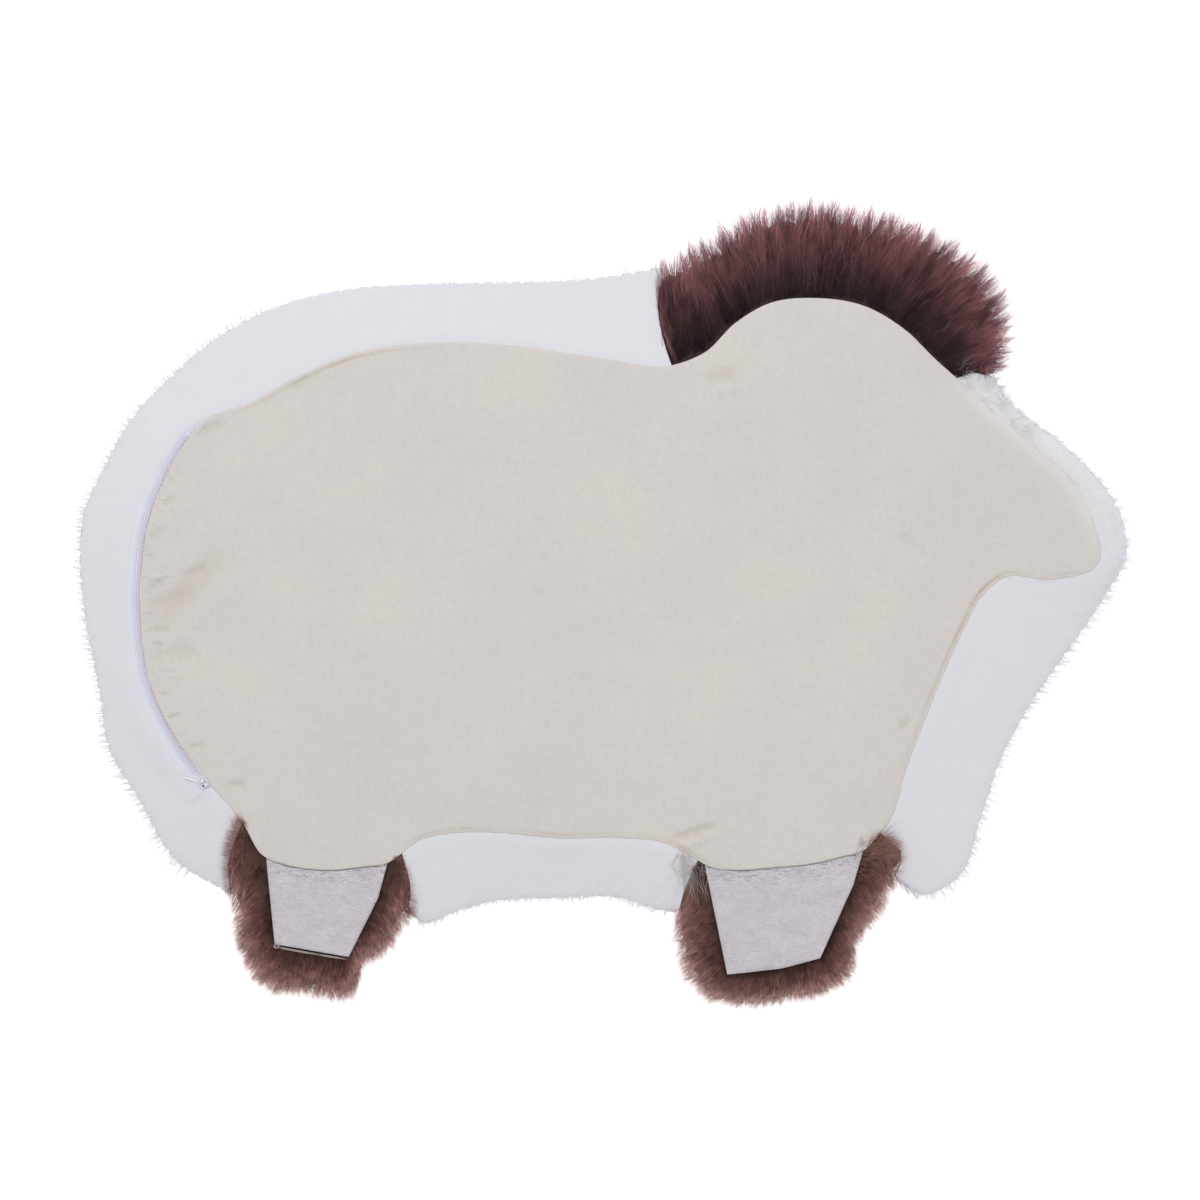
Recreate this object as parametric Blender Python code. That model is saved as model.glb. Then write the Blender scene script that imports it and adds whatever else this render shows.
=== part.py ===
"""A kids' rug shaped like a sheep, lying on its wool with its canvas back up.

Metres, +Z up.  The origin is on the floor under the middle of the rug, +X runs
to the head and +Y to the animal's back.  The wool lies flat on the floor and
stands out all round the canvas, in locks at its rim.  All pieces are laid out
in one plan, so that what lies on the wool follows it facet by facet.
"""

import math
import random

import bmesh
import bpy
import numpy as np
from mathutils import Matrix, Vector, geometry
from mathutils.bvhtree import BVHTree

MM = 0.001
GAP = 0.3 * MM  # clearance between neighbouring pieces

# Heights.
WOOL_HEIGHT = 39 * MM  # wool under the middle of the canvas
WOOL_DROP = 9 * MM  # how much lower the wool lies at the very rim of a hide
WOOL_SHOULDER = 130 * MM  # distance from the rim over which it drops
RIM_HEIGHT = 19 * MM  # thickness of the wool where the locks leave it
RIM_BULGE = 1.9  # fullness of the wool between the hide and the rim
LUMP = 1.6 * MM  # unevenness of the wool beside the canvas
LUMPS_SEED = 5
WAVE = 1.1 * MM  # unevenness of the canvas
WAVES = ((210 * MM, 1, 0.4, 0), (168 * MM, -0.3, 1, 1))  # length, way along x and y, phase

# Sheets.
CANVAS = 1.5 * MM
SKIN = 2.0 * MM
TAPE = 1.0 * MM
COIL_WIDTH = 3.6 * MM
COIL_HEIGHT = 1.6 * MM
TUCK = 5 * MM  # how far the zip tape goes in under the canvas

# Spacing of the plan's points.
EDGE_STEP = 14 * MM
WOOL_STEP = 20 * MM
FIELD_STEP = 34 * MM
FIELD_CLEARANCE = 17 * MM
WOOL_CLEARANCE = 8 * MM
WOOL_ROWS = (0.36, 0.72)  # rows of points between the hide and the rim
SAME_PLACE = 0.01 * MM
SECTION_SAMPLES = 16  # places in a section of a line where its length is measured
SECTION_NEARBY = 0.01  # share of a section over which a line's direction is taken
CORNER_LIMIT = 0.4  # keeps the gap at a piece's sharp corners from growing long

# Locks at the rim.
LOCK_WIDTHS = {
    "back": 12 * MM,
    "hind_foot": 10 * MM,
    "belly": 12 * MM,
    "fore_foot": 10 * MM,
    "chest": 12 * MM,
    "crest": 10 * MM,
}
LOCK_WAIST = 0.5  # share of its length at which a lock starts to taper to its tip
LOCK_WAIST_WIDTH = 0.62
LOCK_WAIST_HEIGHT = 11 * MM
LOCK_TIP_HEIGHT = 5 * MM
LOCK_OVERREACH = 2.5 * MM  # how far the locks' tips pass the outline
LOCK_VARIATION = 0.22
LOCK_SWAY = 0.25
LOCKS_SEED = 1

# The rug's outline, section by section round the animal, in millimetres: the
# edge of the canvas or of a foot's leather, the wool's reach, and the length
# of the loose locks there.  Each part of the outline ends where the next starts.
SECTIONS = {
    # hide_x, hide_y, tip_x, tip_y, lock
    "back": (
        (60, 202, 50, 295, 12),
        (-1, 208, -4, 284, 7),
        (-69, 218, -82, 279, 6),
        (-145, 221, -158, 277, 6),
        (-205, 213, -218, 273, 6),
        (-256, 193, -277, 259, 6),
        (-298, 170, -326, 234, 6),
        (-337, 155, -372, 194, 6),
        (-355, 134, -403, 161, 6),
        (-372, 102, -429, 116, 6),
        (-384, 69, -447, 75, 7),
        (-390, 28, -449, 35, 7),
        (-390, -23, -443, -18, 7),
        (-382, -69, -432, -74, 7),
        (-362, -112, -425, -124, 8),
        (-332, -153, -401, -166, 8),
        (-315, -172, -366, -224, 8),
    ),
    "hind_foot": (
        (-304, -186, -316, -255, 8),
        (-281, -250, -314, -273, 9),
        (-279, -278, -306, -303, 9),
        (-266, -291, -288, -330, 9),
        (-240, -295, -246, -335, 7),
        (-216, -298, -214, -339, 6),
        (-208, -284, -203, -308, 6),
        (-196, -262, -182, -298, 9),
        (-186, -240, -166, -275, 9),
    ),
    "belly": (
        (-169, -212, -161, -270, 7),
        (-156, -202, -150, -279, 7),
        (-128, -195, -128, -271, 6),
        (-94, -194, -103, -262, 6),
        (-35, -199, -35, -256, 6),
        (20, -199, 16, -256, 6),
        (54, -203, 46, -266, 7),
    ),
    "fore_foot": (
        (82, -218, 63, -268, 8),
        (99, -262, 60, -289, 9),
        (104, -292, 69, -316, 10),
        (110, -313, 88, -336, 10),
        (130, -313, 116, -343, 9),
        (152, -310, 152, -340, 8),
        (178, -303, 188, -334, 9),
        (190, -292, 214, -320, 9),
        (202, -266, 219, -292, 8),
        (212, -240, 240, -264, 10),
    ),
    "chest": (
        (237, -194, 252, -239, 8),
        (244, -186, 278, -254, 7),
        (250, -172, 308, -241, 8),
        (258, -143, 330, -186, 7),
        (271, -108, 350, -129, 7),
        (288, -65, 379, -79, 7),
        (307, -23, 406, -42, 7),
        (326, 10, 429, -10, 7),
        (342, 22, 442, 12, 7),
        (382, 20, 449, 30, 6),
        (422, 34, 450, 47, 6),
        (417, 71, 445, 78, 6),
        (400, 103, 428, 104, 6),
        (365, 135, 393, 138, 6),
        (326, 169, 357, 165, 7),
    ),
    "crest": (
        (302, 191, 336, 195, 8),
        (284, 207, 350, 239, 18),
        (258, 232, 322, 295, 22),
        (224, 252, 259, 326, 22),
        (182, 259, 190, 343, 22),
        (144, 255, 131, 334, 20),
        (114, 238, 86, 308, 18),
        (88, 213, 66, 300, 15),
    ),
}

# The canvas's edge where it crosses a foot, and the foot's leather, in
# millimetres.  The leather's first and last corners lie under the canvas.
FOOT_HEMS = {
    "hind_foot": ((-285, -215), (-269, -221), (-230, -226), (-201, -223), (-181, -220)),
    "fore_foot": ((94, -224), (114, -226), (144, -224), (182, -220), (207, -214), (222, -210)),
}
FOOT_SKINS = {
    "hind_foot": ((-285, -206), (-277, -289), (-214, -300), (-189, -250), (-178, -209)),
    "fore_foot": ((86, -213), (107, -315), (152, -310), (186, -301), (214, -239), (225, -201)),
}

# Seams between two fleeces, in millimetres: the bends of the seam on its way in
# from the rim, hidden under the canvas (at a foot it follows the corners of the
# leather's hidden edge), and out to the rim again.
FLEECE_SEAMS = {
    "hind_foot": (((-317, -222),), ((-285, -206), (-178, -209)), ((-162, -239),)),
    "fore_foot": (((73, -239),), ((86, -213), (225, -201)), ((256, -214),)),
    "crest": (((318, 197),), ((254, 158), (182, 145), (110, 160)), ((53, 224), (48, 258))),
}

# The zip beside the canvas on the rump: sections of the back, and how wide the
# tape shows there in millimetres.
TAPE_WIDTHS = ((7.0, 2), (7.7, 7), (8.6, 7.5), (9.6, 12), (12.0, 12), (14.3, 12.5), (15.1, 7))
COIL_START = 7.7
COIL_END = 14.75

SLIDER_SIZE = (7 * MM, 5.6 * MM, 2.6 * MM)  # length, width, height
SLIDER_BEVEL = 0.8 * MM
SLIDER_SECTION = 14.93
SLIDER_CLEARANCE = 0.6 * MM  # from the edge of the canvas
PULL_START = 5.6 * MM  # from the middle of the slider
PULL_SIZE = (13 * MM, 2.2 * MM, 0.9 * MM)
PULL_ANGLE = math.radians(163)
PULL_BEVEL = 0.25 * MM
LAID_LIFT = 0.4 * MM  # clearance below the slider and the pull
LAID_SAMPLES = 9  # places along them where the ground below is measured
ABOVE_ALL = 100 * MM

SHARP_EDGE = math.radians(45)

BODY_RIMS = ("back", "belly", "chest")
FLEECE_FINISHES = {
    "hind_foot": "brown_wool",
    "fore_foot": "brown_wool",
    "crest": "dark_wool",
}

# Finishes: sRGB colour, roughness, metallic value.
FINISHES = {
    "canvas": ((0.83, 0.80, 0.76), 0.95, 0.0),
    "white_wool": ((0.93, 0.93, 0.94), 0.9, 0.0),
    "dark_wool": ((0.30, 0.20, 0.21), 0.85, 0.0),
    "brown_wool": ((0.42, 0.30, 0.27), 0.85, 0.0),
    "grey_leather": ((0.77, 0.76, 0.77), 0.8, 0.0),
    "zip_tape": ((0.87, 0.87, 0.91), 0.75, 0.0),
    "zip_plastic": ((0.90, 0.90, 0.92), 0.4, 0.0),
    "zip_metal": ((0.80, 0.80, 0.82), 0.3, 0.8),
}


def slope(before, here, after):
    """Direction of a smooth line at a point, nearest to its shorter side."""
    back = here - before
    ahead = after - here
    if back.length == 0:
        return ahead.normalized()
    if ahead.length == 0:
        return back.normalized()
    blend = back.normalized() * ahead.length + ahead.normalized() * back.length
    return blend / (back.length + ahead.length)


def on_line(points, section, closed=False):
    """Point of a smooth line through the points, at a whole or part section."""
    count = len(points)
    start = min(int(section), count - 1 if closed else count - 2)
    share = section - start

    def point(index):
        return points[index % count] if closed else points[min(max(index, 0), count - 1)]

    before, here, there, after = (point(start + step) for step in (-1, 0, 1, 2))
    length = (there - here).length
    leave = slope(before, here, there) * length
    arrive = slope(here, there, after) * length
    return (
        here * (1 - 3 * share**2 + 2 * share**3)
        + there * (3 * share**2 - 2 * share**3)
        + leave * (share - 2 * share**2 + share**3)
        + arrive * (share**3 - share**2)
    )


def even_sections(line, first, last, step):
    """Sections from first to last that cut a line into equal lengths of about a step."""
    fine = np.linspace(first, last, math.ceil(SECTION_SAMPLES * (last - first)) + 1)
    places = np.array([line(section) for section in fine])
    lengths = np.linalg.norm(np.diff(places, axis=0), axis=1)
    travelled = np.concatenate(([0.0], np.cumsum(lengths)))
    count = math.ceil(travelled[-1] / step)
    stops = np.linspace(0, travelled[-1], count + 1)
    return [float(section) for section in np.interp(stops, travelled, fine)]


def smooth_run(points, step):
    """Evenly spaced places on a smooth line from the first point to the last."""
    def line(section):
        return on_line(points, section)

    return [line(section) for section in even_sections(line, 0, len(points) - 1, step)]


def straight_run(corners):
    """Evenly spaced places on straight lines through the corners."""
    run = []
    for start, end in zip(corners, corners[1:]):
        steps = max(1, round((end - start).length / EDGE_STEP))
        run += [start.lerp(end, step / steps) for step in range(steps)]
    return run + corners[-1:]


def place(x, y):
    """Point of the plan from millimetres."""
    return Vector((x * MM, y * MM))


def inside(point, loop):
    """Whether a point of the plan lies inside a closed loop."""
    hits = 0
    for start, end in zip(loop, loop[1:] + loop[:1]):
        if (start.y > point.y) != (end.y > point.y):
            share = (point.y - start.y) / (end.y - start.y)
            if point.x < start.x + share * (end.x - start.x):
                hits += 1
    return hits % 2 == 1


def distance_to(point, loop):
    """Distance in the plan from a point to a closed loop."""
    starts = np.array(loop)
    spans = np.roll(starts, -1, axis=0) - starts
    offsets = np.array(point) - starts
    shares = np.clip((offsets * spans).sum(axis=1) / (spans**2).sum(axis=1), 0, 1)
    return float(np.linalg.norm(offsets - spans * shares[:, None], axis=1).min())


class Rim:
    """The wool's rim along one named part of the outline."""

    def __init__(self, name):
        names = list(SECTIONS)
        after = names[(names.index(name) + 1) % len(names)]
        rows = SECTIONS[name] + SECTIONS[after][:1]
        self.hides = [place(row[0], row[1]) for row in rows]
        self.tips = [place(row[2], row[3]) for row in rows]
        self.locks = [row[4] * MM for row in rows]
        self.sections = even_sections(self.tip, 0, len(rows) - 1, LOCK_WIDTHS[name])
        self.places = [self.root(section) for section in self.sections]

    def tip(self, section):
        return on_line(self.tips, section)

    def hide(self, section):
        return on_line(self.hides, section)

    def root(self, section):
        """Where a lock leaves the wool: its length inside the rug's outline."""
        length = float(np.interp(section, range(len(self.locks)), self.locks))
        tip = self.tip(section)
        return tip + (self.hide(section) - tip).normalized() * length

    def wool_places(self, share):
        """A row of places between the hide and the rim."""
        last = len(self.tips) - 1
        for section in even_sections(self.tip, 0, last, WOOL_STEP)[1:-1]:
            yield self.hide(section).lerp(self.root(section), share)


class Plan:
    """Flat layout of the rug: points, and the lines that part its pieces."""

    def __init__(self):
        self.points = []
        self.edges = []

    def point(self, where):
        for index, other in enumerate(self.points):
            if (other - where).length < SAME_PLACE:
                return index
        self.points.append(where)
        return len(self.points) - 1

    def line(self, places):
        indices = [self.point(where) for where in places]
        self.edges += list(zip(indices, indices[1:]))

    def loop(self, places):
        self.line(places + places[:1])

    def fill(self, places, clearance):
        """Add single points where there is room for them."""
        for where in places:
            if min((other - where).length for other in self.points) > clearance:
                self.points.append(where)

    def triangulate(self):
        """Cut the layout into triangles along all its lines."""
        flat = geometry.delaunay_2d_cdt(self.points, self.edges, [], 1, SAME_PLACE / 10)
        self.points = list(flat[0])
        self.triangles = [tuple(face) for face in flat[2]]

    def part(self, keep):
        """Triangles whose middle passes a test."""
        chosen = []
        for face in self.triangles:
            middle = sum((self.points[index] for index in face), Vector((0, 0))) / 3
            if keep(middle):
                chosen.append(face)
        return chosen


def canvas_points():
    """Points of the canvas's edge, all round."""
    points = []
    for name, rows in SECTIONS.items():
        if name in FOOT_HEMS:
            points.append(place(rows[0][0], rows[0][1]))
            points += [place(x, y) for x, y in FOOT_HEMS[name]]
        else:
            points += [place(row[0], row[1]) for row in rows]
    return points


class Canvas:
    """The edge of the canvas, and lines that run beside it."""

    def __init__(self):
        self.points = canvas_points()
        stops = {0, len(self.points), COIL_START, COIL_END}
        stops |= {TAPE_WIDTHS[0][0], TAPE_WIDTHS[-1][0]}
        corners = [place(rows[0][0], rows[0][1]) for rows in SECTIONS.values()]
        stops |= {self.points.index(corner) for corner in corners}
        stops = sorted(stops)
        self.sections = []
        for first, last in zip(stops, stops[1:]):
            self.sections += even_sections(self.edge, first, last, EDGE_STEP)[:-1]
        self.loop = [self.edge(section) for section in self.sections]

    def edge(self, section):
        return on_line(self.points, section, closed=True)

    def heading(self, section):
        """Direction of the edge at a section."""
        before = self.edge(section - SECTION_NEARBY)
        return (self.edge(section + SECTION_NEARBY) - before).normalized()

    def beside(self, section, distance):
        """Place at a distance outside the edge."""
        along = self.heading(section)
        return self.edge(section) + Vector((along.y, -along.x)) * distance

    def strip(self, first, last, inner, outer):
        """Closed loop of a strip along the edge; inner and outer give its sides."""
        run = [section for section in self.sections if first <= section <= last]
        near = [self.beside(section, inner(section)) for section in run]
        far = [self.beside(section, outer(section)) for section in run]
        return near + far[::-1]


def tape_width(section):
    sections = [row[0] for row in TAPE_WIDTHS]
    widths = [row[1] * MM for row in TAPE_WIDTHS]
    return float(np.interp(section, sections, widths))


def seam_loop(name, rims):
    """Outline of a fleece that is sewn into the body's: its seam, then its rim."""
    way_in, hidden, way_out = [
        [place(x, y) for x, y in stretch] for stretch in FLEECE_SEAMS[name]
    ]
    rim = rims[name]
    first, last = rim.places[0], rim.places[-1]
    sewn_first, sewn_last = rim.hides[0], rim.hides[-1]
    hidden = [sewn_first] + hidden + [sewn_last]
    under = straight_run(hidden) if name in FOOT_SKINS else smooth_run(hidden, EDGE_STEP)
    seam = smooth_run([first] + way_in + [sewn_first], EDGE_STEP)[:-1]
    seam += under[:-1] + smooth_run([sewn_last] + way_out + [last], EDGE_STEP)
    return seam, seam + rim.places[-2:0:-1]


def skin_loop(name):
    """Outline of a foot's leather."""
    corners = [place(x, y) for x, y in FOOT_SKINS[name]]
    return straight_run(corners + corners[:1])[:-1]


def field_places(loop):
    """Even triangular grid of places inside a loop."""
    xs = [point.x for point in loop]
    ys = [point.y for point in loop]
    row_step = FIELD_STEP * math.sin(math.radians(60))
    row = 0
    y = min(ys)
    while y < max(ys):
        x = min(xs) + (row % 2) * FIELD_STEP / 2
        while x < max(xs):
            if inside(Vector((x, y)), loop):
                yield Vector((x, y))
            x += FIELD_STEP
        row += 1
        y += row_step


def wave(point):
    """Slow rise and fall of the canvas and of the wool below it."""
    height = 0
    for length, x, y, phase in WAVES:
        height += math.sin(2 * math.pi * (point.x * x + point.y * y) / length + phase)
    return WAVE * height / len(WAVES)


def wool_level(point, hides, rim):
    """Height of the wool at a place of the plan."""
    to_rim = distance_to(point, rim)
    shoulder = 1 - min(1, to_rim / WOOL_SHOULDER)
    level = WOOL_HEIGHT - WOOL_DROP * shoulder**2 + wave(point)
    if any(inside(point, hide) for hide in hides):
        return level
    to_hide = min(distance_to(point, hide) for hide in hides)
    outward = to_hide / (to_hide + to_rim)
    return level - (level - RIM_HEIGHT) * outward**RIM_BULGE


def new_material(finish):
    """Material of one of the finishes."""
    colour, roughness, metallic = FINISHES[finish]
    material = bpy.data.materials.new(finish)
    material.use_nodes = True
    shader = material.node_tree.nodes["Principled BSDF"]
    linear = [((value + 0.055) / 1.055) ** 2.4 for value in colour]
    shader.inputs["Base Color"].default_value = (*linear, 1)
    shader.inputs["Roughness"].default_value = roughness
    shader.inputs["Metallic"].default_value = metallic
    return material


def add_piece(rug, name, bm, finish):
    """Put a solid into the rug, its faces outwards and its slopes smooth."""
    bmesh.ops.recalc_face_normals(bm, faces=bm.faces)
    mesh = bpy.data.meshes.new(name)
    bm.to_mesh(mesh)
    bm.free()
    mesh.shade_smooth()
    mesh.set_sharp_from_angle(angle=SHARP_EDGE)
    mesh.materials.append(bpy.data.materials.get(finish) or new_material(finish))
    piece = bpy.data.objects.new(name, mesh)
    rug.objects.link(piece)
    return piece


def draw_in(bm, distance):
    """Move a flat layout's border inwards."""
    moves = {}
    for edge in bm.edges:
        if not edge.is_boundary:
            continue
        start, end = edge.verts
        run = (end.co - start.co).normalized()
        inward = Vector((-run.y, run.x, 0))
        if inward.dot(edge.link_faces[0].calc_center_median() - start.co) < 0:
            inward.negate()
        for vert in edge.verts:
            moves.setdefault(vert, []).append(inward)
    for vert, sides in moves.items():
        middle = sum(sides, Vector()).normalized()
        vert.co += middle * distance / max(CORNER_LIMIT, middle.dot(sides[0]))


def slab(plan, triangles, bottom, top):
    """Closed solid over some of the plan's triangles, between two heights."""
    bm = bmesh.new()
    origin = bm.verts.layers.int.new("plan")
    verts = {}
    for face in triangles:
        for index in face:
            if index not in verts:
                verts[index] = bm.verts.new((*plan.points[index], 0))
                verts[index][origin] = index
        bm.faces.new([verts[index] for index in face])
    draw_in(bm, GAP / 2)
    lower = bm.faces[:]
    upper = bmesh.ops.extrude_face_region(bm, geom=lower)["geom"]
    raised = {element for element in upper if isinstance(element, bmesh.types.BMVert)}
    for vert in bm.verts:
        index = vert[origin]
        vert.co.z = top[index] if vert in raised else bottom[index]
    return bm


def grow_locks(bm, plan, rims, seed):
    """Draw each stretch of a fleece's rim out into a tapered four-sided lock."""
    dice = random.Random(seed)
    origin = bm.verts.layers.int["plan"]
    for rim in rims:
        indices = [plan.point(where) for where in rim.places]
        spans = {frozenset(pair): n for n, pair in enumerate(zip(indices, indices[1:]))}
        roots = []
        for face in bm.faces:
            span = frozenset(vert[origin] for vert in face.verts)
            if len(face.verts) == 4 and span in spans:
                roots.append((spans[span], face))
        for number, face in sorted(roots, key=lambda root: root[0]):
            section = (rim.sections[number] + rim.sections[number + 1]) / 2
            grow_lock(bm, face, rim.tip(section), dice)


def grow_lock(bm, root, tip, dice):
    """Draw one face out to a waist and then to a point near the tip."""
    middle = root.calc_center_median()
    reach = Vector((tip.x, tip.y, 0)) - Vector((middle.x, middle.y, 0))
    reach *= 1 + LOCK_OVERREACH / reach.length + dice.uniform(-LOCK_VARIATION, LOCK_VARIATION)
    sideways = Vector((-reach.y, reach.x, 0)) * dice.uniform(-LOCK_SWAY, LOCK_SWAY)
    waist = bmesh.ops.extrude_discrete_faces(bm, faces=[root])["faces"][0]
    tallest = max(vert.co.z for vert in waist.verts)
    for vert in waist.verts:
        level = vert.co.z / tallest
        across = vert.co - middle
        across.z = 0
        vert.co = middle + across * LOCK_WAIST_WIDTH + reach * LOCK_WAIST
        vert.co.z = level * LOCK_WAIST_HEIGHT
    end = bmesh.ops.poke(bm, faces=[waist])["verts"][0]
    end.co = middle + reach + sideways
    end.co.z = LOCK_TIP_HEIGHT * (1 + dice.uniform(-LOCK_VARIATION, LOCK_VARIATION))


def rounded_box(size, bevel):
    """Box with rounded edges, its middle at the origin."""
    bm = bmesh.new()
    bmesh.ops.create_cube(bm, size=1, matrix=Matrix.Diagonal((*size, 1)))
    bmesh.ops.bevel(bm, geom=bm.edges[:], offset=bevel, segments=2, profile=0.5, affect="EDGES")
    return bm


class Layout:
    """Where everything lies in the plan, and the plan cut along it."""

    def __init__(self):
        self.canvas = Canvas()
        self.rims = {name: Rim(name) for name in SECTIONS}
        self.rim_loop = [where for rim in self.rims.values() for where in rim.places[:-1]]
        seams = {name: seam_loop(name, self.rims) for name in FLEECE_SEAMS}
        self.fleeces = {name: outline for name, (_, outline) in seams.items()}
        self.skins = {name: skin_loop(name) for name in FOOT_SKINS}
        self.tape = self.canvas.strip(
            TAPE_WIDTHS[0][0], TAPE_WIDTHS[-1][0], lambda section: -TUCK, tape_width
        )
        self.coil = self.canvas.strip(
            COIL_START, COIL_END, lambda section: 0, lambda section: COIL_WIDTH
        )
        self.plan = Plan()
        self.plan.loop(self.rim_loop)
        self.plan.loop(self.canvas.loop)
        for seam, _ in seams.values():
            self.plan.line(seam)
        for loop in (*self.skins.values(), self.tape, self.coil):
            self.plan.loop(loop)
        for rim in self.rims.values():
            for share in WOOL_ROWS:
                self.plan.fill(rim.wool_places(share), WOOL_CLEARANCE)
        self.plan.fill(field_places(self.rim_loop), FIELD_CLEARANCE)
        self.plan.triangulate()

    def tucked(self, loop):
        """Triangles of a loop's part under the canvas."""
        return self.plan.part(
            lambda middle: inside(middle, loop) and inside(middle, self.canvas.loop)
        )


def wool_heights(layout):
    """Height of the wool at every point of the plan, if nothing pressed on it."""
    plan = layout.plan
    hides = [layout.canvas.loop, *layout.skins.values()]
    edges = layout.rim_loop + layout.canvas.loop + layout.tape
    smooth = {plan.point(where) for where in edges}
    dice = random.Random(LUMPS_SEED)
    heights = {}
    for index, point in enumerate(plan.points):
        heights[index] = wool_level(point, hides, layout.rim_loop)
        covered = any(inside(point, hide) for hide in hides)
        if not covered and index not in smooth:
            heights[index] += dice.uniform(-LUMP, LUMP)
    return heights


def press_in(layout, heights):
    """The wool lowered where leather or tape is tucked in under the canvas."""
    tucks = {}
    for thickness, loops in ((SKIN, layout.skins.values()), (TAPE, [layout.tape])):
        for loop in loops:
            for face in layout.tucked(loop):
                for index in face:
                    tucks[index] = thickness + GAP
    return {index: height - tucks.get(index, 0) for index, height in heights.items()}


def raised(heights, distance):
    return {index: height + distance for index, height in heights.items()}


def add_sheet(rug, name, layout, loop, bottom, thickness, finish):
    """Sheet of one thickness over a loop of the plan."""
    triangles = layout.plan.part(lambda middle: inside(middle, loop))
    sheet = slab(layout.plan, triangles, bottom, raised(bottom, thickness))
    return add_piece(rug, name, sheet, finish)


def add_fleeces(rug, layout, wool):
    """The fleeces, each with its own stretch of the rim; returns the body's."""
    plan = layout.plan
    floor = dict.fromkeys(wool, 0.0)

    def in_body(middle):
        return not any(inside(middle, outline) for outline in layout.fleeces.values())

    body = slab(plan, plan.part(in_body), floor, wool)
    grow_locks(body, plan, [layout.rims[name] for name in BODY_RIMS], LOCKS_SEED)
    body_fleece = add_piece(rug, "body_fleece", body, "white_wool")
    for seed, (name, outline) in enumerate(layout.fleeces.items(), start=LOCKS_SEED + 1):
        piece = slab(plan, plan.part(lambda middle: inside(middle, outline)), floor, wool)
        grow_locks(piece, plan, [layout.rims[name]], seed)
        add_piece(rug, f"{name}_fleece", piece, FLEECE_FINISHES[name])
    return body_fleece


def ground_trees(pieces):
    """Search trees of the pieces that others are laid on."""
    trees = []
    for piece in pieces:
        corners = [vert.co for vert in piece.data.vertices]
        faces = [face.vertices[:] for face in piece.data.polygons]
        trees.append(BVHTree.FromPolygons(corners, faces))
    return trees


def height_at(trees, point):
    """Height of the highest of some pieces at a place of the plan."""
    above = Vector((*point, ABOVE_ALL))
    hits = [tree.ray_cast(above, Vector((0, 0, -1)))[0] for tree in trees]
    return max(hit.z for hit in hits if hit is not None)


def lay_on(piece, trees, middle, angle, size):
    """Lay a flat box on the ground below it, tilted as that is along its length."""
    length, width, thickness = size
    out = Vector((math.cos(angle), math.sin(angle)))
    across = Vector((-out.y, out.x))

    def ground(share, side=0.0):
        return height_at(trees, middle + out * length * share + across * width * side)

    near = ground(-0.5)
    far = ground(0.5)
    excess = max(
        ground(share, side) - near * (0.5 - share) - far * (0.5 + share)
        for share in np.linspace(-0.5, 0.5, LAID_SAMPLES)
        for side in (-0.5, 0, 0.5)
    )
    height = (near + far) / 2 + excess + LAID_LIFT + thickness / 2
    piece.location = (*middle, height)
    piece.rotation_euler = (0, math.atan2(near - far, length), angle)


def add_slider(rug, canvas, ground):
    """Slider at the lower end of the zip, and its pull lying out over the wool."""
    trees = ground_trees(ground)
    middle = canvas.beside(SLIDER_SECTION, SLIDER_SIZE[1] / 2 + SLIDER_CLEARANCE)
    along = canvas.heading(SLIDER_SECTION)
    box = rounded_box(SLIDER_SIZE, SLIDER_BEVEL)
    slider = add_piece(rug, "zip_slider", box, "zip_metal")
    lay_on(slider, trees, middle, math.atan2(along.y, along.x), SLIDER_SIZE)

    out = Vector((math.cos(PULL_ANGLE), math.sin(PULL_ANGLE)))
    centre = middle + out * (PULL_START + PULL_SIZE[0] / 2)
    bar = rounded_box(PULL_SIZE, PULL_BEVEL)
    pull = add_piece(rug, "zip_pull", bar, "zip_plastic")
    lay_on(pull, trees, centre, PULL_ANGLE, PULL_SIZE)


def build():
    for old in list(bpy.data.objects):
        bpy.data.objects.remove(old)
    rug = bpy.data.collections.new("animal_rug")
    bpy.context.scene.collection.children.link(rug)

    layout = Layout()
    free_wool = wool_heights(layout)
    wool = press_in(layout, free_wool)
    on_wool = raised(wool, GAP)
    canvas = layout.canvas
    add_sheet(rug, "backing", layout, canvas.loop, raised(free_wool, GAP), CANVAS, "canvas")
    fleece = add_fleeces(rug, layout, wool)
    for name, loop in layout.skins.items():
        add_sheet(rug, f"{name}_skin", layout, loop, on_wool, SKIN, "grey_leather")
    tape = add_sheet(rug, "zip_tape", layout, layout.tape, on_wool, TAPE, "zip_tape")
    on_tape = raised(on_wool, TAPE + GAP)
    add_sheet(rug, "zip_coil", layout, layout.coil, on_tape, COIL_HEIGHT, "zip_plastic")
    add_slider(rug, canvas, [fleece, tape])


build()
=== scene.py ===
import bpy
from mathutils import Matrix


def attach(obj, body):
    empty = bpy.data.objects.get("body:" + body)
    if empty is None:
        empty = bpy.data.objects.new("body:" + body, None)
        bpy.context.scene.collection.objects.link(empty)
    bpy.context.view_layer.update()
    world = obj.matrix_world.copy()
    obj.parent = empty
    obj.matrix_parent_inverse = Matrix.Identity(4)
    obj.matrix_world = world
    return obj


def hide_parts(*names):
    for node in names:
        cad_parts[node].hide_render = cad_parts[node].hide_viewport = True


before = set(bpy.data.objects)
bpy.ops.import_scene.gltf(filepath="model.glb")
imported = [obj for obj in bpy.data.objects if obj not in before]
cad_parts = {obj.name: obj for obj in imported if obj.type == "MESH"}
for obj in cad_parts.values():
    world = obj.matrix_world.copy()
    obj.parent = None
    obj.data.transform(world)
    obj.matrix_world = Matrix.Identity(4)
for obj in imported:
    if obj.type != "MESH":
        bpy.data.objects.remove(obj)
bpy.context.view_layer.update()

import math

import bmesh
import bpy
import numpy as np
from mathutils import Matrix, Vector, geometry, kdtree, noise
from mathutils.bvhtree import BVHTree

MM = 0.001

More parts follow.
